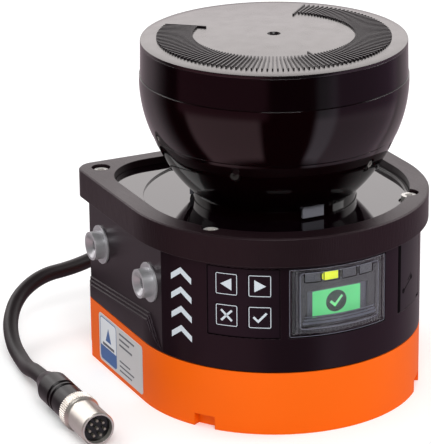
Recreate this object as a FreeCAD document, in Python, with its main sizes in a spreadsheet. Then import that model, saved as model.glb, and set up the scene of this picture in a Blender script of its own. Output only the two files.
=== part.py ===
"""Laser scanner module: a D-shaped housing with a goblet-shaped optics hood and a short plug lead.

Frame: the origin is where the scan axis meets the plane the base stands on. +Z is up, the front
(display side) looks towards -Y, +X is to the right when facing the display. Millimetres.
Angles around the housing are measured from the front, positive towards +X.
"""
import FreeCAD, Part
import math
import os
import re
import Sketcher
from FreeCAD import Placement, Rotation, Vector

UP = Vector(0, 0, 1)
BACK = Vector(0, 1, 0)
FRONT = Vector(0, -1, 0)
LEFT = Vector(-1, 0, 0)
RIGHT = Vector(1, 0, 0)

doc = FreeCAD.newDocument("laser_scanner")

# ---------------------------------------------------------------- driving sizes

SIZES = (
    # overall shell
    ("body_radius", 53.2),      # front arc of the housings, and half their width
    ("body_rear", 52.3),        # rear wall of the housings, behind the scan axis
    ("body_corner", 4.2),       # rear vertical corners
    ("overhang", 2.8),          # cover ring stands out past the housings all round
    ("base_top", 23.5),
    ("joint_gap", 0.5),         # thickness of the two flat gaskets
    ("housing_top", 63.8),
    ("cover_top", "=housing_top + joint_gap + 10.6"),
    ("shell_wall", 4.0),
    ("base_floor", 3.0),
    ("notch_deep", 3.0),        # the mould notches in the base's front
    ("notch_tall", 4.8),
    ("rear_step_deep", 3.6),    # the step along the base's rear edge
    ("rear_step_tall", 6.0),
    ("standoff_x", 28.0),       # the main board's four standoffs
    ("standoff_front", -20.0),
    ("standoff_rear", 30.0),
    ("standoff_radius", 3.0),
    ("standoff_tall", 5.0),
    ("main_board_wide", 70.0),
    ("main_board_deep", 58.0),
    ("main_board_front", -24.0),
    ("circuit_thick", 1.6),
    ("small_thread", 1.25),     # tapping radius of the small screws inside
    ("fit_gap", 0.15),          # clearance round every inset panel
    # dish in the cover ring
    ("dish_radius", 49.0),
    ("dish_rear", 48.8),
    ("dish_corner", 20.0),
    ("dish_level", "=cover_top - 2.6"),
    ("dish_thick", 2.5),
    ("dish_ledge", 4.0),
    ("dish_bowl", 47.6),
    ("dish_drop", 0.6),
    # optics hood
    ("neck_radius", 29.6),
    ("neck_top", "=cover_top + 0.3"),
    ("flare_radius", 38.8),
    ("flare_level", "=neck_top + 10.8"),
    ("crease_radius", 44.2),
    ("crease_level", "=flare_level + 11.0"),
    ("crease_step", 0.3),
    ("band_radius", 47.15),
    ("band_level", "=crease_level + 8.5"),
    ("hood_radius", 48.35),
    ("hood_top", "=band_level + 12.5"),
    ("hood_wall", 2.4),
    ("foot_light_wide", 8.3),
    ("foot_light_tall", 4.6),
    ("sensor_radius", 1.3),
    ("sensor_drop", 2.6),       # how far the dirt sensors stand below the crease
    ("foot_radius", 33.0),
    ("foot_thick", 3.0),
    # cap and scale plate
    ("cap_radius", 48.0),
    ("cap_taper", 0.25),
    ("cap_top", "=hood_top + 11.6"),
    ("cap_plate_thick", 2.2),
    ("plate_rim", 1.2),
    ("plate_crown", 1.3),
    ("dimple_radius", 2.4),
    ("dimple_depth", 0.8),
    # deck that carries the motor and the hood
    ("deck_radius", 44.8),
    ("deck_level", "=housing_top - 2.0"),
    ("deck_thick", 3.0),
    ("lug_wide", 8.0),
    ("lug_tall", 3.0),
    ("deck_screw_spot", 43.2),  # distance of the deck's screws from the scan axis
    # fasteners
    ("screw_radius", 1.95),
    ("screw_head", 2.75),
    ("head_pocket", 3.4),       # depth of the pockets under the base for the screw heads
    ("base_head_tall", 2.5),
    ("hex_radius", 1.3),
    ("hex_deep", 1.6),
    ("cover_head_tall", 2.6),
    ("cover_sink", 1.0),
    ("cover_bore", 3.5),
    ("rear_screw_x", 47.9),
    ("rear_screw_y", 47.7),
    ("front_screw_angle", 53.7),
    ("front_screw_radius", 49.0),
    ("boss_radius", 3.6),
    ("base_rear_screw_x", 45.0),
    ("base_rear_screw_y", 41.0),
    ("base_front_screw_angle", 38.0),
    ("base_front_screw_radius", 46.4),
    # keypad
    ("pad_angle", -39.0),
    ("pad_span", 28.6),
    ("panel_low", "=housing_top - 27.2"),
    ("panel_high", "=housing_top - 1.2"),
    ("panel_depth", 1.6),
    ("key_size", 8.2),
    ("key_pitch_wide", 11.85),
    ("key_pitch_tall", 11.75),
    ("key_centre_level", "=(panel_low + panel_high) / 2 + 0.75"),
    ("key_travel", 0.4),
    ("key_flange", 0.7),        # how far the keys' hidden flanges reach past their faces
    ("key_board_wide", 21.6),
    ("key_board_tall", 26.2),
    # display
    ("display_angle", -0.6),
    ("display_span", 42.0),
    ("display_x", -0.5),
    ("display_inset", 1.3),
    ("lcd_wide", 23.5),
    ("lcd_tall", 11.5),
    ("lcd_low", "=panel_low + 5.0"),
    ("lcd_depth", 4.9),
    ("display_board_wide", 33.0),
    ("display_board_tall", 19.5),
    ("guide_wide", 5.4),
    ("guide_tall", 3.5),
    ("guide_pitch", 6.85),
    ("guide_low", "=panel_low + 20.3"),
    # service socket and its flap
    ("flap_angle", 28.5),
    ("flap_span", 22.4),
    ("flap_thick", 1.7),
    ("hinge_inset", 1.2),
    ("hinge_barrel", 1.12),
    ("hinge_pin", 0.5),
    ("socket_angle", 40.5),
    ("socket_wide", 9.0),
    ("socket_tall", 4.2),
    ("service_board_wide", 17.0),
    ("service_board_tall", 19.5),
    # side fixing bushes
    ("side_recess", 1.6),
    ("recess_lip", 1.2),         # height of each of the recess's three steps
    ("recess_rear", "=base_top + 7.0"),
    ("recess_hump", "=base_top + 12.0"),
    ("recess_slope", "=base_top + 6.9"),
    ("recess_skirt", "=base_top - 0.5"),
    ("bush_radius", 5.35),
    ("bush_flange", 7.3),
    ("bush_flange_thick", 0.6),
    ("bush_thread", 2.1),
    ("bush_mouth", 1.8),         # depth of the funnel at the outer end
    ("bush_grip", 6.0),          # length of the thread behind the funnel
    ("bush_runout", 2.6),        # radius of the bore behind the thread
    ("bush_runout_long", 1.5),
    ("bush_rear", 40.5),
    ("bush_pitch", 43.0),
    ("bush_level", "=housing_top - 16.4"),
    # drive and optics
    ("stator_radius", 22.0),
    ("stator_tall", 17.0),
    ("encoder_gap", 1.5),
    ("encoder_thick", 0.8),
    ("upper_bearing", 12.0),    # height of the upper bearing above the deck
    ("bearing_radius", 11.0),
    ("bearing_wide", 5.0),
    ("shaft_radius", 5.0),
    ("carrier_radius", 20.5),
    ("carrier_foot", 5.7),
    ("carrier_tall", 32.0),
    ("mirror_rise", 42.0),      # where the mirror crosses the scan axis, above the deck
    ("mirror_wide", 30.0),
    ("mirror_long", 40.0),
    ("mirror_thick", 2.0),
    ("column_depth", 3.0),
    ("column_wide", 16.0),
    ("shelf_radius", 34.0),
    ("shelf_thick", 2.4),
    ("lens_radius", 10.0),
    ("laser_radius", 3.6),
    ("laser_long", 6.6),
    ("laser_offset", 18.0),
    ("receiver_board_radius", 24.0),
    # rear lead and its plug
    ("lead_exit_x", 28.0),
    ("lead_exit_level", "=base_top + 8.5"),
    ("block_wide", 34.0),
    ("block_tall", 12.6),
    ("block_plug_wide", 25.0),  # the part of the block that goes through the rear wall
    ("block_plug_tall", 8.7),
    ("block_screw_pitch", 28.4),
    ("lead_radius", 2.9),
    ("plug_x", -84.0),
    ("plug_entry", 19.2),
    ("plug_radius", 6.1),
    ("collar_radius", 7.0),
    ("thread_radius", 6.2),
    ("insert_radius", 5.2),
    ("plug_front", -29.1),
    ("collar_long", 5.6),
    ("pin_radius", 0.5),
    ("pin_circle", 2.9),
    # rating label
    ("label_long", 39.5),
    ("label_tall", 19.2),
    ("label_thick", 0.12),
    ("label_front", 1.2),
    ("label_low", 1.8),
)

sheet = doc.addObject("Spreadsheet::Sheet", "sheet")
for row, (alias, number) in enumerate(SIZES, start=1):
    sheet.set("A%d" % row, alias)
    sheet.set("B%d" % row, str(number))
    sheet.setAlias("B%d" % row, alias)
doc.recompute()
ALIASES = {alias for alias, number in SIZES}

nodes = {}


def size(alias):
    """The number in one cell of the sheet."""
    return float(getattr(sheet, alias))


def formula(text):
    """Spell out a formula of aliases, so that other objects can read it."""
    return re.sub("[a-z_]+", lambda word: "sheet." * (word[0] in ALIASES) + word[0], str(text))


def value(text):
    """What a formula of aliases comes to."""
    return float(sheet.evalExpression(formula(text)))


def bind(thing, **formulas):
    """Bind properties of an object to formulas; a double underscore stands for a dot."""
    for name, text in formulas.items():
        thing.setExpression(name.replace("__", "."), formula(text))


def place(thing, x=0, y=0, z=0, turn=None):
    """Turn an object, then bind where it stands."""
    thing.Placement = Placement(Vector(value(x), value(y), value(z)), turn or Rotation())
    bind(thing, Placement__Base__x=x, Placement__Base__y=y, Placement__Base__z=z)
    return thing


def keep(name, thing):
    """Name a finished sub-part."""
    thing.Label = name
    nodes[name] = thing
    return thing


# ---------------------------------------------------------------- Part shapes

def cylinder(radius, height, x=0, y=0, z=0, axis=UP):
    """A round bar that starts at a point and runs along an axis."""
    bar = doc.addObject("Part::Cylinder", "bar")
    bind(bar, Radius=radius, Height=height)
    return place(bar, x, y, z, Rotation(UP, axis))


def cone(radius, end_radius, height, x=0, y=0, z=0, axis=UP):
    """A tapered round bar."""
    bar = doc.addObject("Part::Cone", "taper")
    bind(bar, Radius1=radius, Radius2=end_radius, Height=height)
    return place(bar, x, y, z, Rotation(UP, axis))


def box(wide, deep, tall, x=0, y=0, z=0):
    """A block centred on x, reaching from y and z in the plus direction."""
    block = doc.addObject("Part::Box", "block")
    bind(block, Length=wide, Width=deep, Height=tall)
    return place(block, "%s - (%s) / 2" % (x, wide), y, z)


def radial_box(angle, outer, depth, wide, low, tall, shift=0):
    """A block square to a radius: its outer face stands at outer, and it reaches depth inwards."""
    block = doc.addObject("Part::Box", "radial_block")
    bind(block, Length=wide, Width=depth, Height=tall)
    side = "(%s - (%s) / 2)" % (shift, wide)
    x = "(%s) * sin(%s) + %s * cos(%s)" % (outer, angle, side, angle)
    y = "%s * sin(%s) - (%s) * cos(%s)" % (side, angle, outer, angle)
    return place(block, x, y, low, Rotation(UP, value(angle)))


def radial_bar(angle, start, length, radius, level, shift=0):
    """A round bar along a radius, starting at start and running outwards."""
    x = "(%s) * sin(%s) + (%s) * cos(%s)" % (start, angle, shift, angle)
    y = "(%s) * sin(%s) - (%s) * cos(%s)" % (shift, angle, start, angle)
    outwards = Vector(math.sin(math.radians(value(angle))), -math.cos(math.radians(value(angle))), 0)
    return cylinder(radius, length, x, y, level, outwards)


def join(*things):
    """One solid from several that overlap or touch."""
    whole = doc.addObject("Part::MultiFuse", "join")
    whole.Shapes = list(things)
    whole.Refine = True
    return whole


def group(*things):
    """Separate solids that share one sub-part."""
    whole = doc.addObject("Part::Compound", "group")
    whole.Links = list(things)
    return whole


def cut(base, *tools):
    """Take tools away from a base."""
    rest = doc.addObject("Part::Cut", "cut")
    rest.Base = base
    rest.Tool = tools[0] if len(tools) == 1 else join(*tools)
    rest.Refine = True
    return rest


def common(first, second):
    """What two solids share."""
    shared = doc.addObject("Part::Common", "shared")
    shared.Base = first
    shared.Tool = second
    shared.Refine = True
    return shared


def ring(outer, inner, height, x=0, y=0, z=0, axis=UP):
    """A plain round ring; its bore runs right through."""
    return cut(cylinder(outer, height, x, y, z, axis), cylinder(inner, height, x, y, z, axis))


def sector(angle, span, outer, inner, low, tall):
    """Part of a ring round the scan axis, centred on an angle."""
    slice_outer = doc.addObject("Part::Cylinder", "slice")
    bind(slice_outer, Radius=outer, Height=tall, Angle=span)
    start = value(angle) - value(span) / 2 - 90
    place(slice_outer, 0, 0, low, Rotation(UP, start))
    return cut(slice_outer, cylinder(inner, tall, 0, 0, low))


def degrees(length, radius):
    """The angle, as a formula, that an arc of this length takes at a radius."""
    return "(%s) / (%s) * 180 / pi" % (length, radius)


# ---------------------------------------------------------------- PartDesign shapes

def origin_plane(body, role):
    """One of a body's own origin planes or axes."""
    return next(item for item in body.Origin.OriginFeatures if item.Role == role)


def new_sketch(body, role, name, level=0):
    """A sketch on an origin plane of the body, raised along its normal."""
    sketch = body.newObject("Sketcher::SketchObject", name)
    sketch.AttachmentSupport = [(origin_plane(body, role), "")]
    sketch.MapMode = "FlatFace"
    bind(sketch, AttachmentOffset__Base__z=level)
    return sketch


def draw_d(sketch, radius, rear, corner):
    """The D outline: a half circle in front, straight sides, a straight rear and round corners."""
    r = value(radius)
    back = value(rear)
    bend = value(corner)
    middle = back - bend
    inner = r - bend

    def arc(x, y, size_, start, end):
        circle = Part.Circle(Vector(x, y, 0), UP, size_)
        return Part.ArcOfCircle(circle, math.radians(start), math.radians(end))

    def line(x1, y1, x2, y2):
        return Part.LineSegment(Vector(x1, y1, 0), Vector(x2, y2, 0))

    sketch.addGeometry(arc(0, 0, r, 180, 360))
    sketch.addGeometry(line(r, 0, r, middle))
    sketch.addGeometry(arc(inner, middle, bend, 0, 90))
    sketch.addGeometry(line(inner, back, -inner, back))
    sketch.addGeometry(arc(-inner, middle, bend, 90, 180))
    sketch.addGeometry(line(-r, middle, -r, 0))
    for piece in range(6):
        sketch.addConstraint(Sketcher.Constraint("Tangent", piece, 2, (piece + 1) % 6, 1))
    sketch.addConstraint(Sketcher.Constraint("Coincident", 0, 3, -1, 1))
    sketch.addConstraint(Sketcher.Constraint("Vertical", 1))
    sketch.addConstraint(Sketcher.Constraint("Horizontal", 3))
    sketch.addConstraint(Sketcher.Constraint("Vertical", 5))
    sketch.addConstraint(Sketcher.Constraint("Equal", 2, 4))
    driven = (
        (Sketcher.Constraint("Radius", 0, r), radius),
        (Sketcher.Constraint("Radius", 2, bend), corner),
        (Sketcher.Constraint("DistanceY", -1, 1, 3, 1, back), rear),
    )
    for constraint, text in driven:
        index = sketch.addConstraint(constraint)
        sketch.setExpression("Constraints[%d]" % index, formula(text))


def d_block(name, inset, low, tall):
    """A body padded from the housing outline, moved inwards by inset."""
    body = doc.addObject("PartDesign::Body", name)
    sketch = new_sketch(body, "XY_Plane", name + "_outline", low)
    outline = ("body_radius - (%s)" % inset, "body_rear - (%s)" % inset, "body_corner - (%s)" % inset)
    draw_d(sketch, *outline)
    pad = body.newObject("PartDesign::Pad", name + "_pad")
    pad.Profile = sketch
    bind(pad, Length=tall)
    return body


def d_pocket(body, name, radius, rear, corner, top, depth):
    """Cut a D-shaped pocket down from a level."""
    sketch = new_sketch(body, "XY_Plane", name + "_outline", top)
    draw_d(sketch, radius, rear, corner)
    doc.recompute()
    before = body.Shape.Volume
    pocket = body.newObject("PartDesign::Pocket", name)
    pocket.Profile = sketch
    bind(pocket, Length=depth)
    doc.recompute()
    assert body.Shape.Volume < before, name + " cut nothing"


def end_at(sketch, piece, point):
    """Which end of a sketch line or arc lies at a point: 1 for its start, 2 for its end."""
    return min((1, 2), key=lambda end: sketch.getPoint(piece, end).distanceToPoint(point))


def draw_profile(sketch, points):
    """A closed outline of straight lines and arcs.

    Each point is (across, up) as formulas. A point with "bulge" as its third entry lies half way
    along an arc between its two neighbours.
    """
    corners = [i for i, point in enumerate(points) if len(point) == 2]
    spots = [Vector(value(point[0]), value(point[1]), 0) for point in points]
    joins = []
    for order, start in enumerate(corners):
        end = corners[(order + 1) % len(corners)]
        if (end - start) % len(points) == 2:
            shape = Part.Arc(spots[start], spots[start + 1], spots[end])
        else:
            shape = Part.LineSegment(spots[start], spots[end])
        piece = sketch.addGeometry(shape)
        if hasattr(sketch.Geometry[piece], "Radius"):
            sketch.addConstraint(Sketcher.Constraint("Radius", piece, sketch.Geometry[piece].Radius))
        joins.append((piece, spots[start], spots[end]))
    for order, (piece, first, last) in enumerate(joins):
        previous = joins[order - 1][0]
        near = end_at(sketch, piece, first)
        sketch.addConstraint(
            Sketcher.Constraint("Coincident", previous, end_at(sketch, previous, first), piece, near))
        for direction, text, number in zip(("DistanceX", "DistanceY"), points[corners[order]], first):
            if abs(number) < 1e-9:
                axis = -2 if direction == "DistanceX" else -1
                sketch.addConstraint(Sketcher.Constraint("PointOnObject", piece, near, axis))
            else:
                index = sketch.addConstraint(Sketcher.Constraint(direction, -1, 1, piece, near, number))
                sketch.setExpression("Constraints[%d]" % index, formula(text))


def turned(name, points):
    """A body turned about the scan axis from an outline of (radius, level) points."""
    body = doc.addObject("PartDesign::Body", name)
    sketch = new_sketch(body, "XZ_Plane", name + "_profile")
    draw_profile(sketch, points)
    turn = body.newObject("PartDesign::Revolution", name + "_turn")
    turn.Profile = sketch
    turn.ReferenceAxis = (sketch, ["V_Axis"])
    turn.Angle = 360
    return body


def turned_bar(name, points, x, y, z, axis):
    """A body turned about its own axis: outline points are (radius, distance along the axis)."""
    body = turned(name, points)
    place(body, x, y, z, Rotation(UP, axis))
    return body


def offset_arc(first, bulge, last, wall):
    """The same three points on an arc that runs inside another by a wall."""
    curve = Part.Arc(Vector(*first, 0), Vector(*bulge, 0), Vector(*last, 0)).toShape().Curve
    centre = curve.Center
    moved = []
    for point in (first, bulge, last):
        away = Vector(*point, 0) - centre
        away.normalize()
        moved.append(centre + away * (curve.Radius - wall))
    return [(point.x, point.y) for point in moved]


# ---------------------------------------------------------------- places shared by several parts

FRONT_SCREW_X = "front_screw_radius * sin(front_screw_angle)"
FRONT_SCREW_Y = "0 - front_screw_radius * cos(front_screw_angle)"
SIDES = (-1, 1)
COVER_SCREWS = [("(%d) * rear_screw_x" % side, "rear_screw_y") for side in SIDES]
COVER_SCREWS += [("(%d) * %s" % (side, FRONT_SCREW_X), FRONT_SCREW_Y) for side in SIDES]
BASE_SCREWS = [("(%d) * base_rear_screw_x" % side, "base_rear_screw_y") for side in SIDES]
BASE_FRONT_X = "base_front_screw_radius * sin(base_front_screw_angle)"
BASE_FRONT_Y = "0 - base_front_screw_radius * cos(base_front_screw_angle)"
BASE_SCREWS += [("(%d) * %s" % (side, BASE_FRONT_X), BASE_FRONT_Y) for side in SIDES]
LUG_ANGLES = (-70, 70, -110, 110)
STANDOFFS = [("(%d) * standoff_x" % side, y) for side in SIDES for y in ("standoff_front", "standoff_rear")]
FOOT_LIGHTS = (0, 120, -120)
SOIL_SENSORS = (-105, -45, 45, 105)
HOUSING_LOW = "base_top + joint_gap"
COVER_LOW = "housing_top + joint_gap"
PANEL_TALL = "panel_high - panel_low"
PANEL_SEAT = "body_radius - panel_depth"
FLAP_SEAT = "body_radius - flap_thick - 0.3"
FLAP_MIDDLE = "flap_angle + flap_span / 2"
HINGE_ANGLE = "flap_angle + %s" % degrees("hinge_inset", "body_radius")
HINGE_RADIUS = "body_radius - hinge_inset"
KEY_BOARD_FACE = "body_radius - 6.2"
SOCKET_BOARD_FACE = "body_radius - 8.6"
KEYS = (
    ("key_left", -1, 1),
    ("key_right", 1, 1),
    ("key_cancel", -1, -1),
    ("key_confirm", 1, -1),
)
BASE_NOTCHES = ((-55.1, 8.9), (51.9, 11.4))


def key_angle(side):
    """The direction that a key looks and moves along."""
    return "pad_angle + %d * %s / 2" % (side, degrees("key_pitch_wide", "body_radius"))


def key_low(row_side, tall):
    """The lower edge of a block as tall as given, centred on a key."""
    return "key_centre_level + %d * key_pitch_tall / 2 - (%s) / 2" % (row_side, tall)


# ---------------------------------------------------------------- base housing

def make_base():
    """The coloured base: a shell with a floor, screw columns and mould notches in front."""
    shell = d_block("base_shell", 0, 0, "base_top")
    inner = ["body_radius - shell_wall", "body_rear - shell_wall", "body_corner - 3.5"]
    d_pocket(shell, "base_cavity", *inner, "base_top", "base_top - base_floor")
    columns = [cylinder("boss_radius", "base_top - 1", x, y, 1) for x, y in BASE_SCREWS]
    standoffs = [cylinder("standoff_radius", "standoff_tall + 1", x, y, "base_floor - 1")
                 for x, y in STANDOFFS]
    tools = [sector(angle, span, "body_radius + 1", "body_radius - notch_deep", -1, "notch_tall + 1")
             for angle, span in BASE_NOTCHES]
    tools.append(box("2 * body_radius + 2", 5, "rear_step_tall + 1", 0, "body_rear - rear_step_deep", -1))
    for x, y in BASE_SCREWS:
        tools.append(cylinder("screw_radius + fit_gap", "base_top", x, y, 2))
        tools.append(cylinder("screw_head + fit_gap", "head_pocket + 1", x, y, -1))
    tools += [cylinder("small_thread", "standoff_tall + 1", x, y, "base_floor + 1") for x, y in STANDOFFS]
    keep("base_housing", cut(join(shell, *columns, *standoffs), *tools))


def make_base_gasket():
    """Flat gasket between the base and the main housing."""
    sheet_body = d_block("base_gasket_sheet", 0.8, "base_top", "joint_gap")
    inner = ["body_radius - shell_wall", "body_rear - shell_wall", "body_corner - 3.5"]
    d_pocket(sheet_body, "base_gasket_hole", *inner, HOUSING_LOW, "joint_gap")
    ears = [cylinder("boss_radius", "joint_gap", x, y, "base_top") for x, y in BASE_SCREWS[2:]]
    holes = [cylinder("screw_radius + fit_gap", 2, x, y, "base_top - 1") for x, y in BASE_SCREWS[2:]]
    keep("base_gasket", cut(join(sheet_body, *ears), *holes))


def make_base_screws():
    """Socket screws driven up through the base into the main housing."""
    screws = []
    for x, y in BASE_SCREWS:
        head = cylinder("screw_head", "base_head_tall", x, y, "head_pocket - base_head_tall")
        shank = cylinder("screw_radius", "base_top + 6", x, y, "head_pocket")
        socket = cylinder("hex_radius", "hex_deep", x, y, "head_pocket - base_head_tall")
        screws.append(cut(join(head, shank), socket))
    keep("base_screws", group(*screws))


# ---------------------------------------------------------------- main housing

def deck_screw_place(angle):
    """Where one of the deck's screws stands."""
    return "deck_screw_spot * sin(%s)" % angle, "0 - deck_screw_spot * cos(%s)" % angle


def deck_screw_hole(angle):
    """The tapped hole for one deck screw."""
    return cylinder("small_thread", 9, *deck_screw_place(angle), "deck_level - deck_thick - 5")


def side_recess(side):
    """The stepped hollow in one flank: three steps down to the skirt, curving down in front."""
    steps = []
    for step in range(3):
        drop = "%s * recess_lip" % step
        floor = "body_radius - side_recess + %s * side_recess / 3" % step
        body = doc.addObject("PartDesign::Body", "recess_step")
        sketch = new_sketch(body, "YZ_Plane", "recess_outline")
        draw_profile(sketch, [
            ("body_rear + 5", "recess_rear - %s" % drop),
            (-2.5, "recess_hump - %s" % drop),
            (-6.6, "recess_slope - %s" % drop, "bulge"),
            (-14, "recess_skirt - %s" % drop),
            (-22, "recess_skirt - %s" % drop),
            (-22, "housing_top + 1"),
            ("body_rear + 5", "housing_top + 1"),
        ])
        pad = body.newObject("PartDesign::Pad", "recess_pad")
        pad.Profile = sketch
        bind(pad, Length="side_recess + 4")
        place(body, floor if side > 0 else "0 - (%s) - side_recess - 4" % floor)
        steps.append(body)
    return steps


def make_main_housing():
    """The black housing: a tube with screw columns and recesses for everything set in its walls."""
    shell = d_block("housing_shell", 0, HOUSING_LOW, "housing_top - (%s)" % HOUSING_LOW)
    inner = ["body_radius - shell_wall", "body_rear - shell_wall", "body_corner - 3.5"]
    d_pocket(shell, "housing_cavity", *inner, "housing_top", "housing_top")
    tall = "housing_top - (%s)" % HOUSING_LOW
    columns = [cylinder("boss_radius", tall, x, y, HOUSING_LOW) for x, y in COVER_SCREWS]
    columns += [cylinder("boss_radius + 0.9", tall, x, y, HOUSING_LOW) for x, y in BASE_SCREWS[:2]]
    columns += [cylinder("boss_radius", 11.5, x, y, HOUSING_LOW) for x, y in BASE_SCREWS[2:]]
    bush_y = ["bush_rear", "bush_rear - bush_pitch"]
    for side in SIDES:
        for y in bush_y:
            start = "%d * (body_radius - side_recess)" % side
            columns.append(cylinder("bush_radius + 2", 8.5, start, y, "bush_level",
                                    LEFT if side > 0 else RIGHT))
    for angle in LUG_ANGLES:
        columns.append(radial_box(angle, "body_radius - 1", 11, "lug_wide",
                                  "deck_level - deck_thick - lug_tall", "lug_tall"))
    for shift, level in ((0, "panel_low + 1.7"), (0, "panel_high - 0.3"), (12.2, "panel_low + 13.4")):
        columns.append(radial_bar("pad_angle", KEY_BOARD_FACE, 4, 1, level, shift))
    for shift in (-8, 6.3):
        for level in ("panel_low + 4.4", "panel_low + 18.9"):
            columns.append(radial_bar("socket_angle", SOCKET_BOARD_FACE, 6, 1.4, level, shift))

    tools = side_recess(-1) + side_recess(1)
    for side in SIDES:
        for y in bush_y:
            start = "%d * (body_radius - side_recess)" % side
            tools.append(cylinder("bush_radius", 7, start, y, "bush_level", LEFT if side > 0 else RIGHT))
    for x, y in COVER_SCREWS:
        tools.append(cylinder("screw_radius", 14, x, y, "housing_top - 12"))
    for x, y in BASE_SCREWS:
        tools.append(cylinder("screw_radius", 11.5, x, y, "base_top - 1"))
    for angle in LUG_ANGLES:
        tools.append(deck_screw_hole(angle))
    # keypad recess and the windows behind the keys
    tools.append(sector("pad_angle", "pad_span", "body_radius + 2", PANEL_SEAT, "panel_low", PANEL_TALL))
    for name, side, row_side in KEYS:
        wide = "key_size + 2"
        tools.append(radial_box(key_angle(side), "body_radius", 8, wide, key_low(row_side, wide), wide))
    # display recess and window
    tools.append(sector("display_angle", "display_span", "body_radius + 2", PANEL_SEAT,
                        "panel_low", PANEL_TALL))
    opening = "display_span - 2 * %s" % degrees("display_inset", "body_radius")
    tools.append(sector("display_angle", opening, "body_radius", "body_radius - 12",
                        "panel_low + display_inset", "panel_high - panel_low - 2 * display_inset"))
    # flap recess, hinge clearance, hinge pin holes and the socket's window
    tools.append(sector(FLAP_MIDDLE, "flap_span", "body_radius + 2", FLAP_SEAT, "panel_low", PANEL_TALL))
    hinge_x = "(%s) * sin(%s)" % (HINGE_RADIUS, HINGE_ANGLE)
    hinge_y = "0 - (%s) * cos(%s)" % (HINGE_RADIUS, HINGE_ANGLE)
    tools.append(cylinder("hinge_barrel + 0.1", PANEL_TALL, hinge_x, hinge_y, "panel_low"))
    tools.append(cylinder("hinge_pin", "panel_high - panel_low + 2.2", hinge_x, hinge_y, "panel_low - 1.2"))
    tools.append(radial_box("socket_angle", "body_radius", 9, "socket_wide + 2 * fit_gap",
                            "panel_low + 7.4 - fit_gap", "socket_tall + 2 * fit_gap"))
    # opening for the lead's connector block at the rear
    tools.append(box("block_plug_wide + 0.4", 12, "block_plug_tall + 0.3", "lead_exit_x", "body_rear - 9",
                     "lead_exit_level - block_plug_tall / 2 - 0.15"))
    for side in SIDES:
        x = "lead_exit_x + %d * block_screw_pitch / 2" % side
        tools.append(cylinder(1.2, 6, x, "body_rear + 1", "lead_exit_level", FRONT))
    keep("main_housing", cut(join(shell, *columns), *tools))


def make_side_bushes():
    """Threaded metal bushes for the fixing bracket, pressed in from both flanks."""
    bushes = []
    for side in SIDES:
        outwards = RIGHT if side > 0 else LEFT
        for y in ("bush_rear", "bush_rear - bush_pitch"):
            wall = "%d * (body_radius - side_recess)" % side
            tube_long = "overhang + side_recess"
            inner_end = "%d * (body_radius - side_recess - 7)" % side
            tube = cylinder("bush_radius", "7 + %s" % tube_long, inner_end, y, "bush_level", outwards)
            flange = cylinder("bush_flange", "bush_flange_thick", wall, y, "bush_level", outwards)
            mouth_foot = "body_radius + overhang - bush_mouth"
            thread_start = "%d * (%s - bush_grip)" % (side, mouth_foot)
            thread = cylinder("bush_thread", "bush_grip", thread_start, y, "bush_level", outwards)
            deep = "%d * (%s - bush_grip - bush_runout_long)" % (side, mouth_foot)
            runout = cylinder("bush_runout", "bush_runout_long", deep, y, "bush_level", outwards)
            mouth_start = "%d * (%s)" % (side, mouth_foot)
            mouth = cone("bush_thread", "bush_radius - 1.0", "bush_mouth", mouth_start, y, "bush_level",
                         outwards)
            bushes.append(cut(join(tube, flange), thread, runout, mouth))
    keep("side_fixing_bushes", group(*bushes))


# ---------------------------------------------------------------- cover ring and dish

def make_cover_seal():
    """Flat gasket under the cover ring, with an ear round each screw."""
    seal = d_block("cover_seal_sheet", "side_recess + 0.3", "housing_top", "joint_gap")
    inner = ["body_radius - shell_wall", "body_rear - shell_wall", "body_corner - 3.5"]
    d_pocket(seal, "cover_seal_hole", *inner, COVER_LOW, "joint_gap")
    ears = [cylinder("boss_radius - 0.6", "joint_gap", x, y, "housing_top") for x, y in COVER_SCREWS]
    holes = [cylinder("screw_radius + fit_gap", 2, x, y, "housing_top - 1") for x, y in COVER_SCREWS]
    keep("cover_seal", cut(join(seal, *ears), *holes))


def make_cover_ring():
    """The thick ring on top of the housing, with a D-shaped opening and four sunk screws."""
    ring_body = d_block("cover_block", "0 - overhang", COVER_LOW, "cover_top - (%s)" % COVER_LOW)
    doc.recompute()
    top_edges = []
    for index, edge in enumerate(ring_body.Shape.Edges, start=1):
        if edge.BoundBox.ZMin > value("cover_top") - 0.01:
            top_edges.append("Edge%d" % index)
    pad = ring_body.Tip
    chamfer = ring_body.newObject("PartDesign::Chamfer", "cover_edge")
    chamfer.Base = (pad, top_edges)
    chamfer.Size = 0.5
    doc.recompute()
    opening = ("dish_radius", "dish_rear", "dish_corner")
    ledge = ["%s - dish_ledge" % text for text in opening]
    d_pocket(ring_body, "dish_seat", *opening, "cover_top", "cover_top - dish_level + dish_thick")
    d_pocket(ring_body, "dish_opening", *ledge, "cover_top", "cover_top - (%s)" % COVER_LOW)
    seats = []
    tools = []
    seat_level = "cover_top - cover_sink - cover_head_tall"
    for x, y in COVER_SCREWS:
        seats.append(cylinder("cover_bore", "%s - (%s)" % (seat_level, COVER_LOW), x, y, COVER_LOW))
        tools.append(cylinder("cover_bore", 6, x, y, seat_level))
        tools.append(cylinder("screw_radius + fit_gap", 12, x, y, "housing_top"))
    keep("cover_ring", cut(join(cut(ring_body, *tools[0::2]), *seats), *tools[1::2]))


def make_cover_screws():
    """Socket screws that hold the cover ring down."""
    screws = []
    seat_level = "cover_top - cover_sink - cover_head_tall"
    for x, y in COVER_SCREWS:
        head = cylinder("screw_head", "cover_head_tall", x, y, seat_level)
        shank = cylinder("screw_radius", "%s - housing_top + 10" % seat_level, x, y, "housing_top - 10")
        socket = cylinder("hex_radius + 0.05", "hex_deep + 0.1", x, y, "cover_top - cover_sink - hex_deep")
        screws.append(cut(join(head, shank), socket))
    keep("cover_screws", group(*screws))


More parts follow.
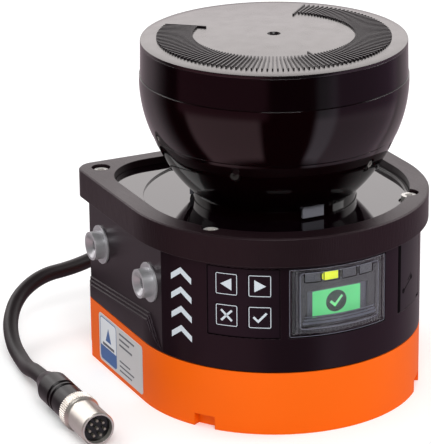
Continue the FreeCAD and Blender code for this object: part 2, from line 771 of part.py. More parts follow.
def make_dish():
    """The glossy floor inside the cover ring, with a shallow round bowl about the hood's neck."""
    plate = doc.addObject("PartDesign::Body", "dish_body")
    sketch = new_sketch(plate, "XY_Plane", "dish_outline", "dish_level - dish_thick")
    draw_d(sketch, "dish_radius - fit_gap", "dish_rear - fit_gap", "dish_corner - fit_gap")
    pad = plate.newObject("PartDesign::Pad", "dish_pad")
    pad.Profile = sketch
    bind(pad, Length="dish_thick")
    tools = [cylinder("dish_bowl", 4, 0, 0, "dish_level - dish_drop")]
    tools.append(cylinder("neck_radius + fit_gap", 9, 0, 0, "dish_level - 6"))
    tools += [cylinder("cover_bore + fit_gap", 9, x, y, "dish_level - 6") for x, y in COVER_SCREWS[2:]]
    keep("dish_plate", cut(plate, *tools))


# ---------------------------------------------------------------- optics hood and cap

def make_hood():
    """The one-piece goblet that the laser looks out through, from its foot up to the cap seam."""
    low_arc = [(value("neck_radius + 0.25"), value("neck_top")),
               (value("flare_radius"), value("flare_level")),
               (value("crease_radius"), value("crease_level"))]
    high_arc = [(value("crease_radius + crease_step"), value("crease_level + 0.3")),
                (value("band_radius"), value("band_level")), (value("hood_radius"), value("hood_top"))]
    low_inner = offset_arc(*low_arc, value("hood_wall"))
    high_inner = offset_arc(*high_arc, value("hood_wall"))
    join_level = (low_inner[2][1] + high_inner[0][1]) / 2
    join_radius = (low_inner[2][0] + high_inner[0][0]) / 2
    neck_inner = "neck_radius - hood_wall"
    foot_top = "deck_level + foot_thick"
    body = turned("hood_body", [
        (neck_inner, "deck_level"),
        ("foot_radius", "deck_level"),
        ("foot_radius", foot_top),
        ("neck_radius", foot_top),
        ("neck_radius", "dish_level"),
        low_arc[0],
        (*low_arc[1], "bulge"),
        low_arc[2],
        high_arc[0],
        (*high_arc[1], "bulge"),
        high_arc[2],
        (high_inner[2][0], "hood_top"),
        (*high_inner[1], "bulge"),
        (join_radius, join_level),
        (*low_inner[1], "bulge"),
        (neck_inner, low_inner[0][1]),
    ])
    tools = [radial_box(angle, "neck_radius + 6", 7, "foot_light_wide", "dish_level + 0.2", "foot_light_tall")
             for angle in FOOT_LIGHTS]
    tools += [radial_bar(angle, "flare_radius", 9, "sensor_radius", "crease_level - sensor_drop")
              for angle in SOIL_SENSORS]
    keep("optics_hood", cut(body, *tools))


def make_foot_lights():
    """Three small status windows round the hood's neck."""
    windows = [radial_box(angle, "neck_radius + 0.9", 1.9, "foot_light_wide", "dish_level + 0.2",
                          "foot_light_tall")
               for angle in FOOT_LIGHTS]
    keep("foot_light_windows", group(*windows))


def make_soil_sensors():
    """Small lenses of the sensors that watch the window for dirt."""
    lenses = [radial_bar(angle, "flare_radius + 1.2", 2.7, "sensor_radius", "crease_level - sensor_drop")
              for angle in SOIL_SENSORS]
    keep("soil_sensor_lenses", group(*lenses))


def make_cap():
    """The black cap that closes the hood, with a spigot that drops inside it."""
    inside = "hood_radius - hood_wall - fit_gap"
    keep("hood_cap", turned("cap_body", [
        (0, "cap_top - cap_plate_thick"),
        (0, "cap_top"),
        ("cap_radius - cap_taper", "cap_top"),
        ("cap_radius", "hood_top"),
        (inside, "hood_top"),
        ("%s - 0.2" % inside, "hood_top - 3.5"),
        ("%s - 1.8" % inside, "hood_top - 3.5"),
        ("%s - 1.8" % inside, "cap_top - cap_plate_thick"),
    ]))


def make_scale_plate():
    """The domed metal plate on top that carries the angle scale, dimpled at its centre."""
    rim = "cap_radius - cap_taper"
    crown = "cap_top + plate_rim + plate_crown"
    half = value("cap_radius - cap_taper - 0.5") / 2
    sag = value("plate_crown")
    keep("scale_plate", turned("plate_body", [
        (0, "cap_top"),
        (rim, "cap_top"),
        (rim, "cap_top + plate_rim - 0.5"),
        ("%s - 0.5" % rim, "cap_top + plate_rim"),
        (half, value("cap_top + plate_rim") + 0.75 * sag, "bulge"),
        ("dimple_radius", "%s - 0.01" % crown),
        ("dimple_radius - 0.3", "%s - dimple_depth" % crown),
        (0, "%s - dimple_depth" % crown),
    ]))


# ---------------------------------------------------------------- deck, drive and optics

def make_deck():
    """The metal deck across the housing that carries the hood, the motor and the optics column."""
    disc = cylinder("deck_radius", "deck_thick", 0, 0, "deck_level - deck_thick")
    tools = [cylinder("shaft_radius + 1", 9, 0, 0, "deck_level - 6")]
    for angle in LUG_ANGLES:
        tools.append(cylinder("small_thread + 0.4", 9, *deck_screw_place(angle), "deck_level - 6"))
    keep("optics_deck", cut(disc, *tools))


def make_deck_screws():
    """Four small screws that hold the deck down on the housing's lugs."""
    screws = []
    for angle in LUG_ANGLES:
        x, y = deck_screw_place(angle)
        head = cylinder(2.5, 1.8, x, y, "deck_level")
        shank = cylinder("small_thread", "deck_thick + 4", x, y, "deck_level - deck_thick - 4")
        screws.append(join(head, shank))
    keep("deck_screws", group(*screws))


def make_drive():
    """Hollow motor, its two bearings, the shaft and everything that turns with it."""
    keep("motor_stator", ring("stator_radius", "bearing_radius", "stator_tall", 0, 0, "deck_level"))
    bearings = [ring("bearing_radius", "shaft_radius", "bearing_wide", 0, 0, level)
                for level in ("deck_level", "deck_level + upper_bearing")]
    keep("motor_bearings", group(*bearings))
    keep("motor_shaft", cylinder("shaft_radius - 0.03", 29, 0, 0, "deck_level - 4"))
    disc_level = "deck_level + stator_tall + encoder_gap"
    keep("encoder_disc", ring("stator_radius - 0.5", "shaft_radius - 0.03", "encoder_thick",
                              0, 0, disc_level))
    foot = "%s + encoder_thick" % disc_level
    drum = ring("carrier_radius", "shaft_radius - 0.03", "carrier_foot", 0, 0, foot)
    tall = cylinder("carrier_radius", "carrier_tall", 0, 0, "%s + carrier_foot" % foot)
    wedge = doc.addObject("Part::Box", "wedge")
    bind(wedge, Length=80, Width=80, Height=60)
    middle = "deck_level + mirror_rise"
    shift = Vector(0, -40 * math.cos(math.radians(45)), -40 * math.sin(math.radians(45)))
    place(wedge, -40, shift.y, "%s + %s" % (middle, shift.z), Rotation(RIGHT, 45))
    keep("mirror_carrier", join(drum, cut(tall, wedge)))
    slab = doc.addObject("Part::Box", "slab")
    bind(slab, Length="mirror_wide", Width="mirror_long", Height="mirror_thick")
    place(slab, "0 - mirror_wide / 2", "0 - mirror_long / 2 * cos(45)",
          "%s - mirror_long / 2 * sin(45)" % middle, Rotation(RIGHT, 45))
    keep("scan_mirror", slab)


def make_column():
    """The column up the blind side at the rear, with the shelf that holds laser and receiver."""
    rear = "stator_radius + 0.6"
    top = "cap_top - cap_plate_thick - 5.6"
    post = box("column_wide", "column_depth", "%s - deck_level" % top, 0, rear, "deck_level")
    shelf = cylinder("shelf_radius", "shelf_thick", 0, 0, "%s - shelf_thick" % top)
    hole = cylinder("lens_radius", 9, 0, 0, "%s - 6" % top)
    laser_y = "0 - laser_offset"
    laser_hole = cylinder("laser_radius", 9, 0, laser_y, "%s - 6" % top)
    keep("optics_column", cut(join(post, shelf), hole, laser_hole))
    keep("receiver_lens", cylinder("lens_radius", 4, 0, 0, "%s - 3.5" % top))
    keep("laser_module", cylinder("laser_radius", "laser_long", 0, laser_y, "%s - 1.9" % top))
    board = cut(cylinder("receiver_board_radius", "circuit_thick", 0, 0, "%s + 0.5" % top),
                cylinder("laser_radius", 6, 0, laser_y, "%s - 1" % top))
    spacers = [cylinder(2, 0.5, x, 0, top) for x in ("0 - laser_offset", "laser_offset")]
    keep("receiver_board", join(board, *spacers))


def make_main_board():
    """The processor board in the base, on four standoffs."""
    face = "base_floor + standoff_tall"
    board_top = "%s + circuit_thick" % face
    board = box("main_board_wide", "main_board_deep", "circuit_thick", 0, "main_board_front", face)
    chips = [box(16, 16, 2, -14, -6, board_top), box(22, 10, 3.5, 18, 2, board_top),
             box(12, 8, 6, -20, 14, board_top)]
    holes = [cylinder("small_thread + fit_gap", 9, x, y, "base_floor + 1") for x, y in STANDOFFS]
    keep("main_board", cut(join(board, *chips), *holes))
    screws = [join(cylinder(2.4, 1.6, x, y, board_top), cylinder("small_thread", 4.6, x, y, "base_floor + 2"))
              for x, y in STANDOFFS]
    keep("board_screws", group(*screws))


# ---------------------------------------------------------------- keypad

def make_keypad():
    """Inset key panel, its four keys, and the switch board behind them."""
    gap = degrees("fit_gap", "body_radius")
    panel = sector("pad_angle", "pad_span - 2 * %s" % gap, "body_radius - 0.2", PANEL_SEAT,
                   "panel_low + fit_gap", "%s - 2 * fit_gap" % PANEL_TALL)
    holes = []
    opening = "key_size + 2 * fit_gap"
    for name, side, row_side in KEYS:
        angle = key_angle(side)
        holes.append(radial_box(angle, "body_radius", 8, opening, key_low(row_side, opening), opening))
    keep("keypad_panel", cut(panel, *holes))
    for name, side, row_side in KEYS:
        angle = key_angle(side)
        low = key_low(row_side, "key_size")
        stem = radial_box(angle, "body_radius + 1", 3.6, "key_size", low, "key_size")
        top = common(stem, cylinder("body_radius - 0.15", "housing_top", 0, 0, 20))
        wide = "key_size + 2 * key_flange"
        flange = radial_box(angle, "body_radius", 2.6, wide, key_low(row_side, wide), wide)
        inner = common(flange, cylinder("%s - 0.12" % PANEL_SEAT, "housing_top", 0, 0, 20))
        keep(name, join(top, inner))
    board = radial_box("pad_angle", KEY_BOARD_FACE, 1.2, "key_board_wide", "panel_low + 0.6",
                       "key_board_tall", 2.6)
    domes = []
    for name, side, row_side in KEYS:
        shift = "%d * 5.5" % side
        domes.append(radial_bar("pad_angle", KEY_BOARD_FACE, 2.1, 2, key_low(row_side, 0), shift))
    keep("keypad_board", join(board, *domes))


# ---------------------------------------------------------------- display

def make_display():
    """Clear window, the stepped bezel behind it, light guides, display glass and its board."""
    gap = degrees("fit_gap", "body_radius")
    keep("display_window", sector("display_angle", "display_span - 2 * %s" % gap, "body_radius - 0.1",
                                  PANEL_SEAT, "panel_low + fit_gap", "%s - 2 * fit_gap" % PANEL_TALL))
    low = "panel_low + display_inset + 0.1"
    tall = "%s - 2 * display_inset - 0.2" % PANEL_TALL
    half = "(body_radius - 4.1) * sin(display_span / 2 - %s)" % degrees("display_inset", "body_radius")
    frame = common(box("2 * %s - 0.4" % half, 8, tall, "display_x", "0 - body_radius", low),
                   cylinder(PANEL_SEAT, "housing_top", 0, 0, 20))
    rear = "0 - body_radius + 7.7"
    steps = []
    for step, depth in enumerate(("body_radius - 3.0", "body_radius - 4.0")):
        inset = "%d * 1.9 + 3" % (step * 2)
        steps.append(box("2 * %s - %s" % (half, inset), 6, "%s - %d * 1.0 - 2" % (tall, 2 * step),
                         "display_x", "0 - (%s) - 6" % depth, "%s + 1 + %d * 1.0" % (low, step)))
    glass = box("lcd_wide", 20, "lcd_tall", "display_x", "0 - body_radius - 2", "lcd_low")
    slots = [box("guide_wide", 20, "guide_tall", "display_x + (%s) * guide_pitch" % place_,
                 "0 - body_radius - 2", "guide_low") for place_ in (-1.5, -0.5, 0.5, 1.5)]
    back = box("body_radius", 6, "housing_top", 0, rear, 20)
    keep("display_bezel", cut(frame, *steps, glass, *slots, back))
    guides = [common(box("guide_wide", "5.3", "guide_tall", "display_x + (%s) * guide_pitch" % place_,
                         "0 - body_radius + 2.4", "guide_low"),
                     cylinder("%s - 0.3" % PANEL_SEAT, "housing_top", 0, 0, 20))
              for place_ in (-1.5, -0.5, 0.5, 1.5)]
    keep("status_light_guides", group(guides[0], *guides[2:]))
    keep("lit_light_guide", guides[1])
    keep("lcd_module", box("lcd_wide", "7.7 - lcd_depth", "lcd_tall", "display_x",
                           "0 - body_radius + lcd_depth", "lcd_low"))
    keep("display_board", box("display_board_wide", 1.4, "display_board_tall", "display_x", rear,
                              "panel_low + 1.9"))


# ---------------------------------------------------------------- service socket

def make_service_socket():
    """Hinged flap on its pin, and the socket with its board behind it."""
    hinge_x = "(%s) * sin(%s)" % (HINGE_RADIUS, HINGE_ANGLE)
    hinge_y = "0 - (%s) * cos(%s)" % (HINGE_RADIUS, HINGE_ANGLE)
    gap = degrees("fit_gap", "body_radius")
    right_edge = "flap_angle + flap_span - %s" % gap
    span = "%s - (%s)" % (right_edge, HINGE_ANGLE)
    plate = sector("%s - (%s) / 2" % (right_edge, span), span, "body_radius - 0.05",
                   "%s + 0.2" % FLAP_SEAT, "panel_low + fit_gap", "%s - 2 * fit_gap" % PANEL_TALL)
    barrel = cylinder("hinge_barrel", "%s - 2 * fit_gap" % PANEL_TALL, hinge_x, hinge_y,
                      "panel_low + fit_gap")
    grip = radial_box("flap_angle + flap_span - 2.2", "body_radius + 1", 1.9, 3, "panel_low", 1.2)
    hole = cylinder("hinge_pin + 0.05", 40, hinge_x, hinge_y, "panel_low - 5")
    keep("service_flap", cut(join(plate, barrel), hole, grip))
    keep("flap_hinge_pin", cylinder("hinge_pin", "%s + 2.2" % PANEL_TALL, hinge_x, hinge_y,
                                    "panel_low - 1.2"))
    shell = radial_box("socket_angle", "body_radius - 2.3", 6.3, "socket_wide", "panel_low + 7.4",
                       "socket_tall")
    mouth = radial_box("socket_angle", "body_radius - 2.2", 5.2, "socket_wide - 0.8",
                       "panel_low + 7.8", "socket_tall - 0.8")
    tongue = radial_box("socket_angle", "body_radius - 3.3", 4.6, 6.4, "panel_low + 9.2", 0.7)
    keep("service_socket", join(cut(shell, mouth), tongue))
    keep("service_board", radial_box("socket_angle", SOCKET_BOARD_FACE, 1.4, "service_board_wide",
                                     "panel_low + 2.4", "service_board_tall", -1.4))


# ---------------------------------------------------------------- rear lead

def make_connector_block():
    """The plug-in block at the rear that the lead is moulded into, and its two screws."""
    plate = box("block_wide", "overhang", "block_tall", "lead_exit_x", "body_rear",
                "lead_exit_level - block_tall / 2")
    inner = box("block_plug_wide", 8, "block_plug_tall", "lead_exit_x", "body_rear - 8",
                "lead_exit_level - block_plug_tall / 2")
    tools = []
    screws = []
    for side in SIDES:
        x = "lead_exit_x + %d * block_screw_pitch / 2" % side
        tools.append(cylinder(1.35, 6, x, "body_rear + 4", "lead_exit_level", FRONT))
        tools.append(cylinder(2.3, 3, x, "body_rear + overhang + 1.6", "lead_exit_level", FRONT))
        head = cylinder(2.15, 1.4, x, "body_rear + overhang", "lead_exit_level", FRONT)
        shank = cylinder(1.2, 5.5, x, "body_rear + overhang - 1.4", "lead_exit_level", FRONT)
        slot = box(0.7, 1.2, 6, x, "body_rear + overhang - 0.7", "lead_exit_level - 3")
        screws.append(cut(join(head, shank), slot))
    keep("connector_block", cut(join(plate, inner), *tools))
    keep("block_screws", group(*screws))


def make_strain_relief():
    """The ribbed, tapered sleeve moulded round the lead where it leaves the block."""
    keep("strain_relief", turned_bar("relief_body", [
        (0, 0),
        (5.6, 0),
        (5.6, 2.2),
        (4.9, 3.0),
        (4.7, 4.6),
        (4.2, 5.0),
        (4.1, 6.6),
        (3.7, 7.0),
        (3.4, 10.9),
        (0, 10.9),
    ], "lead_exit_x", "body_rear + overhang", "lead_exit_level", BACK))


LEAD_ROUTE = (
    ("lead_exit_x", 66, "lead_exit_level"),
    ("lead_exit_x", 77.5, "lead_exit_level"),
    (24, 88.3, 31),
    (16.6, 97, 29.6),
    (6.6, 102.4, 27.6),
    (-4.8, 103.4, 25.4),
    (-17.5, 100.4, 22.8),
    (-30.6, 95.2, 20.2),
    (-44, 90.6, 19.4),
    (-57.4, 87.6, 19.8),
    (-69.4, 82.3, 15.6),
    (-77.1, 72.6, 10),
    (-80.7, 60.4, 5.2),
    (-81.5, 48.6, 3),
    (-83.2, 38.4, 4.2),
    ("plug_x", 28.8, "collar_radius"),
    ("plug_x", "plug_entry", "collar_radius"),
)


def make_lead():
    """The lead as straight runs joined by tangent arcs, checked by its volume."""
    radius = value("lead_radius")
    points = [Vector(*[value(number) for number in point]) for point in LEAD_ROUTE]
    edges = []
    length = 0
    reached = points[0]
    for before, here, after in zip(points, points[1:], points[2:]):
        back = (before - here).normalize()
        ahead = (after - here).normalize()
        turn = math.pi - back.getAngle(ahead)
        shorter = min(before.distanceToPoint(here), after.distanceToPoint(here))
        trim = 0.45 * shorter
        bend = trim / math.tan(turn / 2)
        print("lead bend radius %.1f mm, turn %.0f degrees" % (bend, math.degrees(turn)))
        start = here + back * trim
        end = here + ahead * trim
        bisector = (back + ahead).normalize()
        depth = bend / math.cos(turn / 2) - bend
        edges.append(Part.LineSegment(reached, start).toShape())
        edges.append(Part.Arc(start, here + bisector * depth, end).toShape())
        length += reached.distanceToPoint(start) + bend * turn
        reached = end
    edges.append(Part.LineSegment(reached, points[-1]).toShape())
    length += reached.distanceToPoint(points[-1])
    path = Part.Wire(edges)
    direction = points[1] - points[0]
    section = Part.Wire([Part.Circle(points[0], direction, radius).toShape()])
    tube = path.makePipeShell([section], True, True)
    wanted = math.pi * radius ** 2 * length
    assert abs(tube.Volume - wanted) < 0.01 * wanted, "the lead's volume is off"
    print("lead length %.1f mm" % length)
    lead = doc.addObject("Part::Feature", "lead_tube")
    lead.Shape = tube
    lead.Placement = Placement()
    keep("lead", lead)


def make_plug():
    """The round plug on the lead: moulded body, insert with eight pins, and a screw collar."""
    x = "plug_x"
    z = "collar_radius"
    front = "plug_entry - (%s)"
    keep("plug_body", turned_bar("plug_body_turn", [
        (0, 0),
        (3.7, 0),
        (4.4, 2.6),
        (5.3, 5.0),
        ("plug_radius", 7.2),
        ("plug_radius", 15.6),
        ("plug_radius - 0.5", 16.0),
        ("plug_radius - 0.5", 17.0),
        ("plug_radius", 17.4),
        ("plug_radius", 18.4),
        ("plug_radius - 0.5", 18.8),
        ("plug_radius - 0.5", 19.8),
        ("plug_radius", 20.2),
        ("plug_radius", 28.4),
        ("insert_radius", 28.4),
        ("insert_radius", 32),
        (0, 32),
    ], x, "plug_entry", z, FRONT))
    insert_long = "plug_entry - 32 - plug_front - 2.2"
    insert_start = front % "32"
    pin_angles = range(0, 360, 52)
    spots = [(0, 0)]
    spots += [("pin_circle * sin(%d)" % a, "pin_circle * cos(%d)" % a) for a in pin_angles]
    insert = cylinder("insert_radius", insert_long, x, insert_start, z, FRONT)
    bores = [cylinder("pin_radius", 30, "%s + %s" % (x, dx), "plug_front + 12", "%s + %s" % (z, dz), FRONT)
             for dx, dz in spots]
    key = box(1.0, "insert_radius * 3", 1.4, x, "plug_front - 4", "%s + insert_radius - 0.8" % z)
    keep("plug_insert", cut(insert, *bores, key))
    pins = [cylinder("pin_radius", 11.2, "%s + %s" % (x, dx), "plug_front + 12", "%s + %s" % (z, dz), FRONT)
            for dx, dz in spots]
    keep("plug_pins", group(*pins))
    collar_start = front % "28.6"
    collar = cylinder("collar_radius", "collar_long", x, collar_start, z, FRONT)
    sleeve = cylinder("thread_radius", "plug_entry - 28.6 - plug_front", x, collar_start, z, FRONT)
    bore = cylinder("insert_radius + 0.06", 60, x, "plug_entry", z, FRONT)
    keep("plug_collar", cut(join(collar, sleeve), bore))


def make_label():
    """The rating label on the left flank of the base."""
    block = doc.addObject("Part::Box", "label_block")
    bind(block, Length="label_thick", Width="label_long", Height="label_tall")
    place(block, "0 - body_radius - label_thick", "label_front", "label_low")
    rounded = doc.addObject("Part::Fillet", "label_round")
    rounded.Base = block
    doc.recompute()
    edges = []
    for index, edge in enumerate(block.Shape.Edges, start=1):
        if edge.BoundBox.YLength < 0.01 and edge.BoundBox.ZLength < 0.01:
            edges.append((index, 1.6, 1.6))
    rounded.Edges = edges
    keep("rating_label", rounded)


make_base()
make_base_gasket()
make_base_screws()
make_main_housing()
make_side_bushes()
make_cover_seal()
make_cover_ring()
make_cover_screws()
make_dish()
make_hood()
make_foot_lights()
make_soil_sensors()
make_cap()
make_scale_plate()
make_deck()
make_deck_screws()
make_drive()
make_column()
make_main_board()
make_keypad()
make_display()
make_service_socket()
make_connector_block()
make_strain_relief()
make_lead()
make_plug()
make_label()

# ---------------------------------------------------------------- checks and files

doc.recompute()
for thing in doc.Objects:
    bad = [state for state in thing.State if state in ("Invalid", "Error")]
    assert not bad, "%s (%s) is %s" % (thing.Name, thing.Label, bad)
os.makedirs("parts", exist_ok=True)
for name, thing in nodes.items():
    shape = thing.Shape
    assert not shape.isNull(), name + " is empty"
    assert shape.isValid(), name + " is not valid"
    assert shape.Volume > 0, name + " has no volume"
    print("%-22s solids %d  volume %.1f mm3" % (name, len(shape.Solids), shape.Volume))
for name, thing in nodes.items():
    thing.Shape.exportStep("parts/%s.step" % name)
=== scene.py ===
import math

import bmesh
import bpy
from mathutils import Matrix, Vector


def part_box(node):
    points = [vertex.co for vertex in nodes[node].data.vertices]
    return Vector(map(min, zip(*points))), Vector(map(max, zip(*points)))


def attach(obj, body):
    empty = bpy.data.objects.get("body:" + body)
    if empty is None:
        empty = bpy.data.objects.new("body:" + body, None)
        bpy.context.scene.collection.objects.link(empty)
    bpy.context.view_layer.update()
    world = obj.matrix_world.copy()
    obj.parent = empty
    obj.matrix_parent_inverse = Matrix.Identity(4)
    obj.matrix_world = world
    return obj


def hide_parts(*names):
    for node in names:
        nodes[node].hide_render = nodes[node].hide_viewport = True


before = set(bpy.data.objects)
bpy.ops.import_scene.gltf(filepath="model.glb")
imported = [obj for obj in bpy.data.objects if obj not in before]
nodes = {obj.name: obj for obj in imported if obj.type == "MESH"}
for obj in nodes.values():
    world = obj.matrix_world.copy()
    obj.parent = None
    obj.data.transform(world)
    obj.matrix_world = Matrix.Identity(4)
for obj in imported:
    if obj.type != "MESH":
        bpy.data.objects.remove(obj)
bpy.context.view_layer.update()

MM = 0.001


# ------------------------------------------------------------------ camera
# A long lens a metre away, 20 degrees above the floor, so that the round parts keep their true
# proportions. It looks at the middle of the body and its lead.

CAMERA_TURN = math.radians(-25.48)
CAMERA_RISE = math.radians(20.09)
CAMERA_ROLL = math.radians(-0.65)
CAMERA_AWAY = 972.1 * MM
CAMERA_LENS = 216.1
LOOK_AT = Vector((-19.43, 9.26, 60.95)) * MM

back = Vector((math.sin(CAMERA_TURN) * math.cos(CAMERA_RISE),
               -math.cos(CAMERA_TURN) * math.cos(CAMERA_RISE),
               math.sin(CAMERA_RISE)))
level_right = Vector((math.cos(CAMERA_TURN), math.sin(CAMERA_TURN), 0))
level_up = back.cross(level_right)
right = level_right * math.cos(CAMERA_ROLL) + level_up * math.sin(CAMERA_ROLL)
up = level_up * math.cos(CAMERA_ROLL) - level_right * math.sin(CAMERA_ROLL)

camera = bpy.data.objects.new("camera", bpy.data.cameras.new("camera"))
bpy.context.collection.objects.link(camera)
camera.data.sensor_width = 36
camera.data.lens = CAMERA_LENS
camera.data.clip_start = 0.05
camera.data.clip_end = 50
camera_turned = Matrix((right, up, back)).transposed().to_4x4()
camera.matrix_world = Matrix.Translation(LOOK_AT + back * CAMERA_AWAY) @ camera_turned
bpy.context.scene.camera = camera
bpy.context.scene.view_settings.view_transform = "Standard"


# ------------------------------------------------------------------ studio surroundings
# The room that the gloss mirrors: a bright sweep high at the back, dim warm cards low in front on
# both sides, fainter ones above them, and darkness elsewhere. Matt surfaces see an even white room.

def add(tree, kind, inputs=None, **settings):
    """One shader node. Each input is a plain value or another node's output socket."""
    made = tree.nodes.new("ShaderNode" + kind)
    for name, setting in settings.items():
        setattr(made, name, setting)
    for socket, source in (inputs or {}).items():
        if isinstance(source, bpy.types.NodeSocket):
            tree.links.new(source, made.inputs[socket])
        else:
            made.inputs[socket].default_value = source
    return made


def calc(tree, operation, first, second=0.0):
    """The output of one Math node."""
    return add(tree, "Math", {0: first, 1: second}, operation=operation).outputs[0]


def ramp_up(tree, value, low, high):
    """Goes smoothly from 0 at low to 1 at high, or the other way when low is above high."""
    made = add(tree, "MapRange", {0: value, 1: low, 2: high}, interpolation_type="SMOOTHSTEP")
    return made.outputs[0]


world = bpy.data.worlds.new("studio")
bpy.context.scene.world = world
world.use_nodes = True
world.cycles.sampling_method = "NONE"
room = world.node_tree
room.nodes.clear()
toward = add(room, "TexCoord").outputs["Generated"]
height = add(room, "SeparateXYZ", {0: toward}).outputs["Z"]
rise = calc(room, "DEGREES", calc(room, "ARCSINE", height))


def card(middle, half_wide, low, high, soft, light):
    """The light from one card, given by angles in degrees: 0 is straight ahead of the display."""
    turn = math.radians(middle)
    ahead = add(room, "VectorMath", {0: toward, 1: (math.sin(turn), -math.cos(turn), 0)},
                operation="DOT_PRODUCT").outputs["Value"]
    aside = add(room, "VectorMath", {0: toward, 1: (math.cos(turn), math.sin(turn), 0)},
                operation="DOT_PRODUCT").outputs["Value"]
    angle = calc(room, "ABSOLUTE", calc(room, "DEGREES", calc(room, "ARCTAN2", aside, ahead)))
    wide = ramp_up(room, angle, half_wide + soft, half_wide - soft)
    above = ramp_up(room, rise, low - soft, low + soft)
    below = ramp_up(room, rise, high + soft, high - soft)
    mask = calc(room, "MULTIPLY", calc(room, "MULTIPLY", wide, above), below)
    return add(room, "VectorMath", {0: light, "Scale": mask}, operation="SCALE").outputs[0]


WHITE = (1, 1, 1, 1)
ROOM_LIGHT = 0.72
DARKEST = (0.010, 0.004, 0.006)
CARDS = (
    # middle, half width, low, high, softness, light
    (-74, 35, -58, -21, 4, (0.46, 0.29, 0.32)),
    (-74, 42, -21, 2, 4, (0.15, 0.06, 0.08)),
    (56, 47, -58, -21, 4, (0.34, 0.26, 0.31)),
    (19, 9, -58, -14, 4, (0.26, 0.27, 0.30)),
    (62, 40, -21, 2, 6, (0.20, 0.13, 0.19)),
    (160, 58, -60, 12, 16, (0.40, 0.33, 0.36)),
    (154, 70, 8, 50, 9, (1.75, 1.68, 1.67)),
)
gloss_light = add(room, "CombineXYZ", {0: DARKEST[0], 1: DARKEST[1], 2: DARKEST[2]}).outputs[0]
for values in CARDS:
    gloss_light = add(room, "VectorMath", {0: gloss_light, 1: card(*values)}, operation="ADD").outputs[0]

path = add(room, "LightPath")
seen = add(room, "Background", {"Color": WHITE, "Strength": 1.0}).outputs[0]
mirrored = add(room, "Background", {"Color": gloss_light, "Strength": 1.0}).outputs[0]
soft = add(room, "Background", {"Color": WHITE, "Strength": ROOM_LIGHT}).outputs[0]
around = add(room, "MixShader", {0: path.outputs["Is Glossy Ray"], 1: soft, 2: mirrored}).outputs[0]
whole = add(room, "MixShader", {0: path.outputs["Is Camera Ray"], 1: around, 2: seen}).outputs[0]
add(room, "OutputWorld", {"Surface": whole})


def soft_box(name, place, wide, tall, power):
    """One square studio lamp that looks at the scanner."""
    lamp = bpy.data.objects.new(name, bpy.data.lights.new(name, "AREA"))
    bpy.context.collection.objects.link(lamp)
    lamp.data.shape = "RECTANGLE"
    lamp.data.size = wide
    lamp.data.size_y = tall
    lamp.data.energy = power
    lamp.location = place
    lamp.rotation_euler = (LOOK_AT - Vector(place)).to_track_quat("-Z", "Y").to_euler()


soft_box("front_lamp", (-0.35, -0.95, 1.05), 0.7, 0.5, 7.5)
soft_box("right_lamp", (1.1, -0.25, 0.75), 0.5, 0.5, 4.0)
soft_box("rear_lamp", (-0.5, 1.0, 1.0), 0.7, 0.5, 4.0)

FLOOR_REACH = 4
FLOOR_GLOW = 0.16
bm = bmesh.new()
bmesh.ops.create_grid(bm, x_segments=8, y_segments=8, size=FLOOR_REACH)
floor_mesh = bpy.data.meshes.new("floor")
bm.to_mesh(floor_mesh)
bm.free()
floor = bpy.data.objects.new("floor", floor_mesh)
bpy.context.collection.objects.link(floor)
floor.visible_glossy = False
paper = bpy.data.materials.new("floor_paper")
paper.use_nodes = True
paper_shader = paper.node_tree.nodes["Principled BSDF"]
paper_shader.inputs["Base Color"].default_value = (0.95, 0.95, 0.95, 1)
paper_shader.inputs["Emission Color"].default_value = WHITE
paper_shader.inputs["Emission Strength"].default_value = FLOOR_GLOW
paper_shader.inputs["Roughness"].default_value = 0.9
paper_shader.inputs["Specular IOR Level"].default_value = 0.1
floor_mesh.materials.append(paper)


# ------------------------------------------------------------------ lead
# A round black lead leaves the block at the rear, bends down round the left rear corner and lies
# on the floor beside the base. Its jacket is smooth, slightly matt polyurethane.

def new_group(name, inputs, outputs):
    """An empty shader node group with these float, colour or vector sockets."""
    group = bpy.data.node_groups.new(name, "ShaderNodeTree")
    for label, kind, start in inputs:
        socket = group.interface.new_socket(label, in_out="INPUT", socket_type="NodeSocket" + kind)
        socket.default_value = start
    for label, kind in outputs:
        group.interface.new_socket(label, in_out="OUTPUT", socket_type="NodeSocket" + kind)
    return group, group.nodes.new("NodeGroupInput").outputs, group.nodes.new("NodeGroupOutput")


def shaded(tree, noise, colour, amount):
    """How far a noise swings from its middle, and the colour made lighter and darker by it."""
    swing = calc(tree, "MULTIPLY", calc(tree, "SUBTRACT", noise, 0.5), 2.0)
    tone = calc(tree, "ADD", calc(tree, "MULTIPLY", swing, amount), 1.0)
    return swing, add(tree, "VectorMath", {0: colour, "Scale": tone}, operation="SCALE").outputs[0]


def give(tree, result, colour, roughness, normal):
    """Links the three results of a skin to the output of its group."""
    for label, socket in zip(("Colour", "Roughness", "Normal"), (colour, roughness, normal)):
        tree.links.new(socket, result.inputs[label])


SKIN_RESULTS = [("Colour", "Color"), ("Roughness", "Float"), ("Normal", "Vector")]
SKIN_LINKS = {"Colour": "Base Color", "Roughness": "Roughness", "Normal": "Normal"}

# An edge counts as rubbed, and is lightened partly as wear and partly as a painted highlight, where the
# rounded and the flat normal point apart.
EDGE_STARTS = 0.995
EDGE_FULL = 0.80
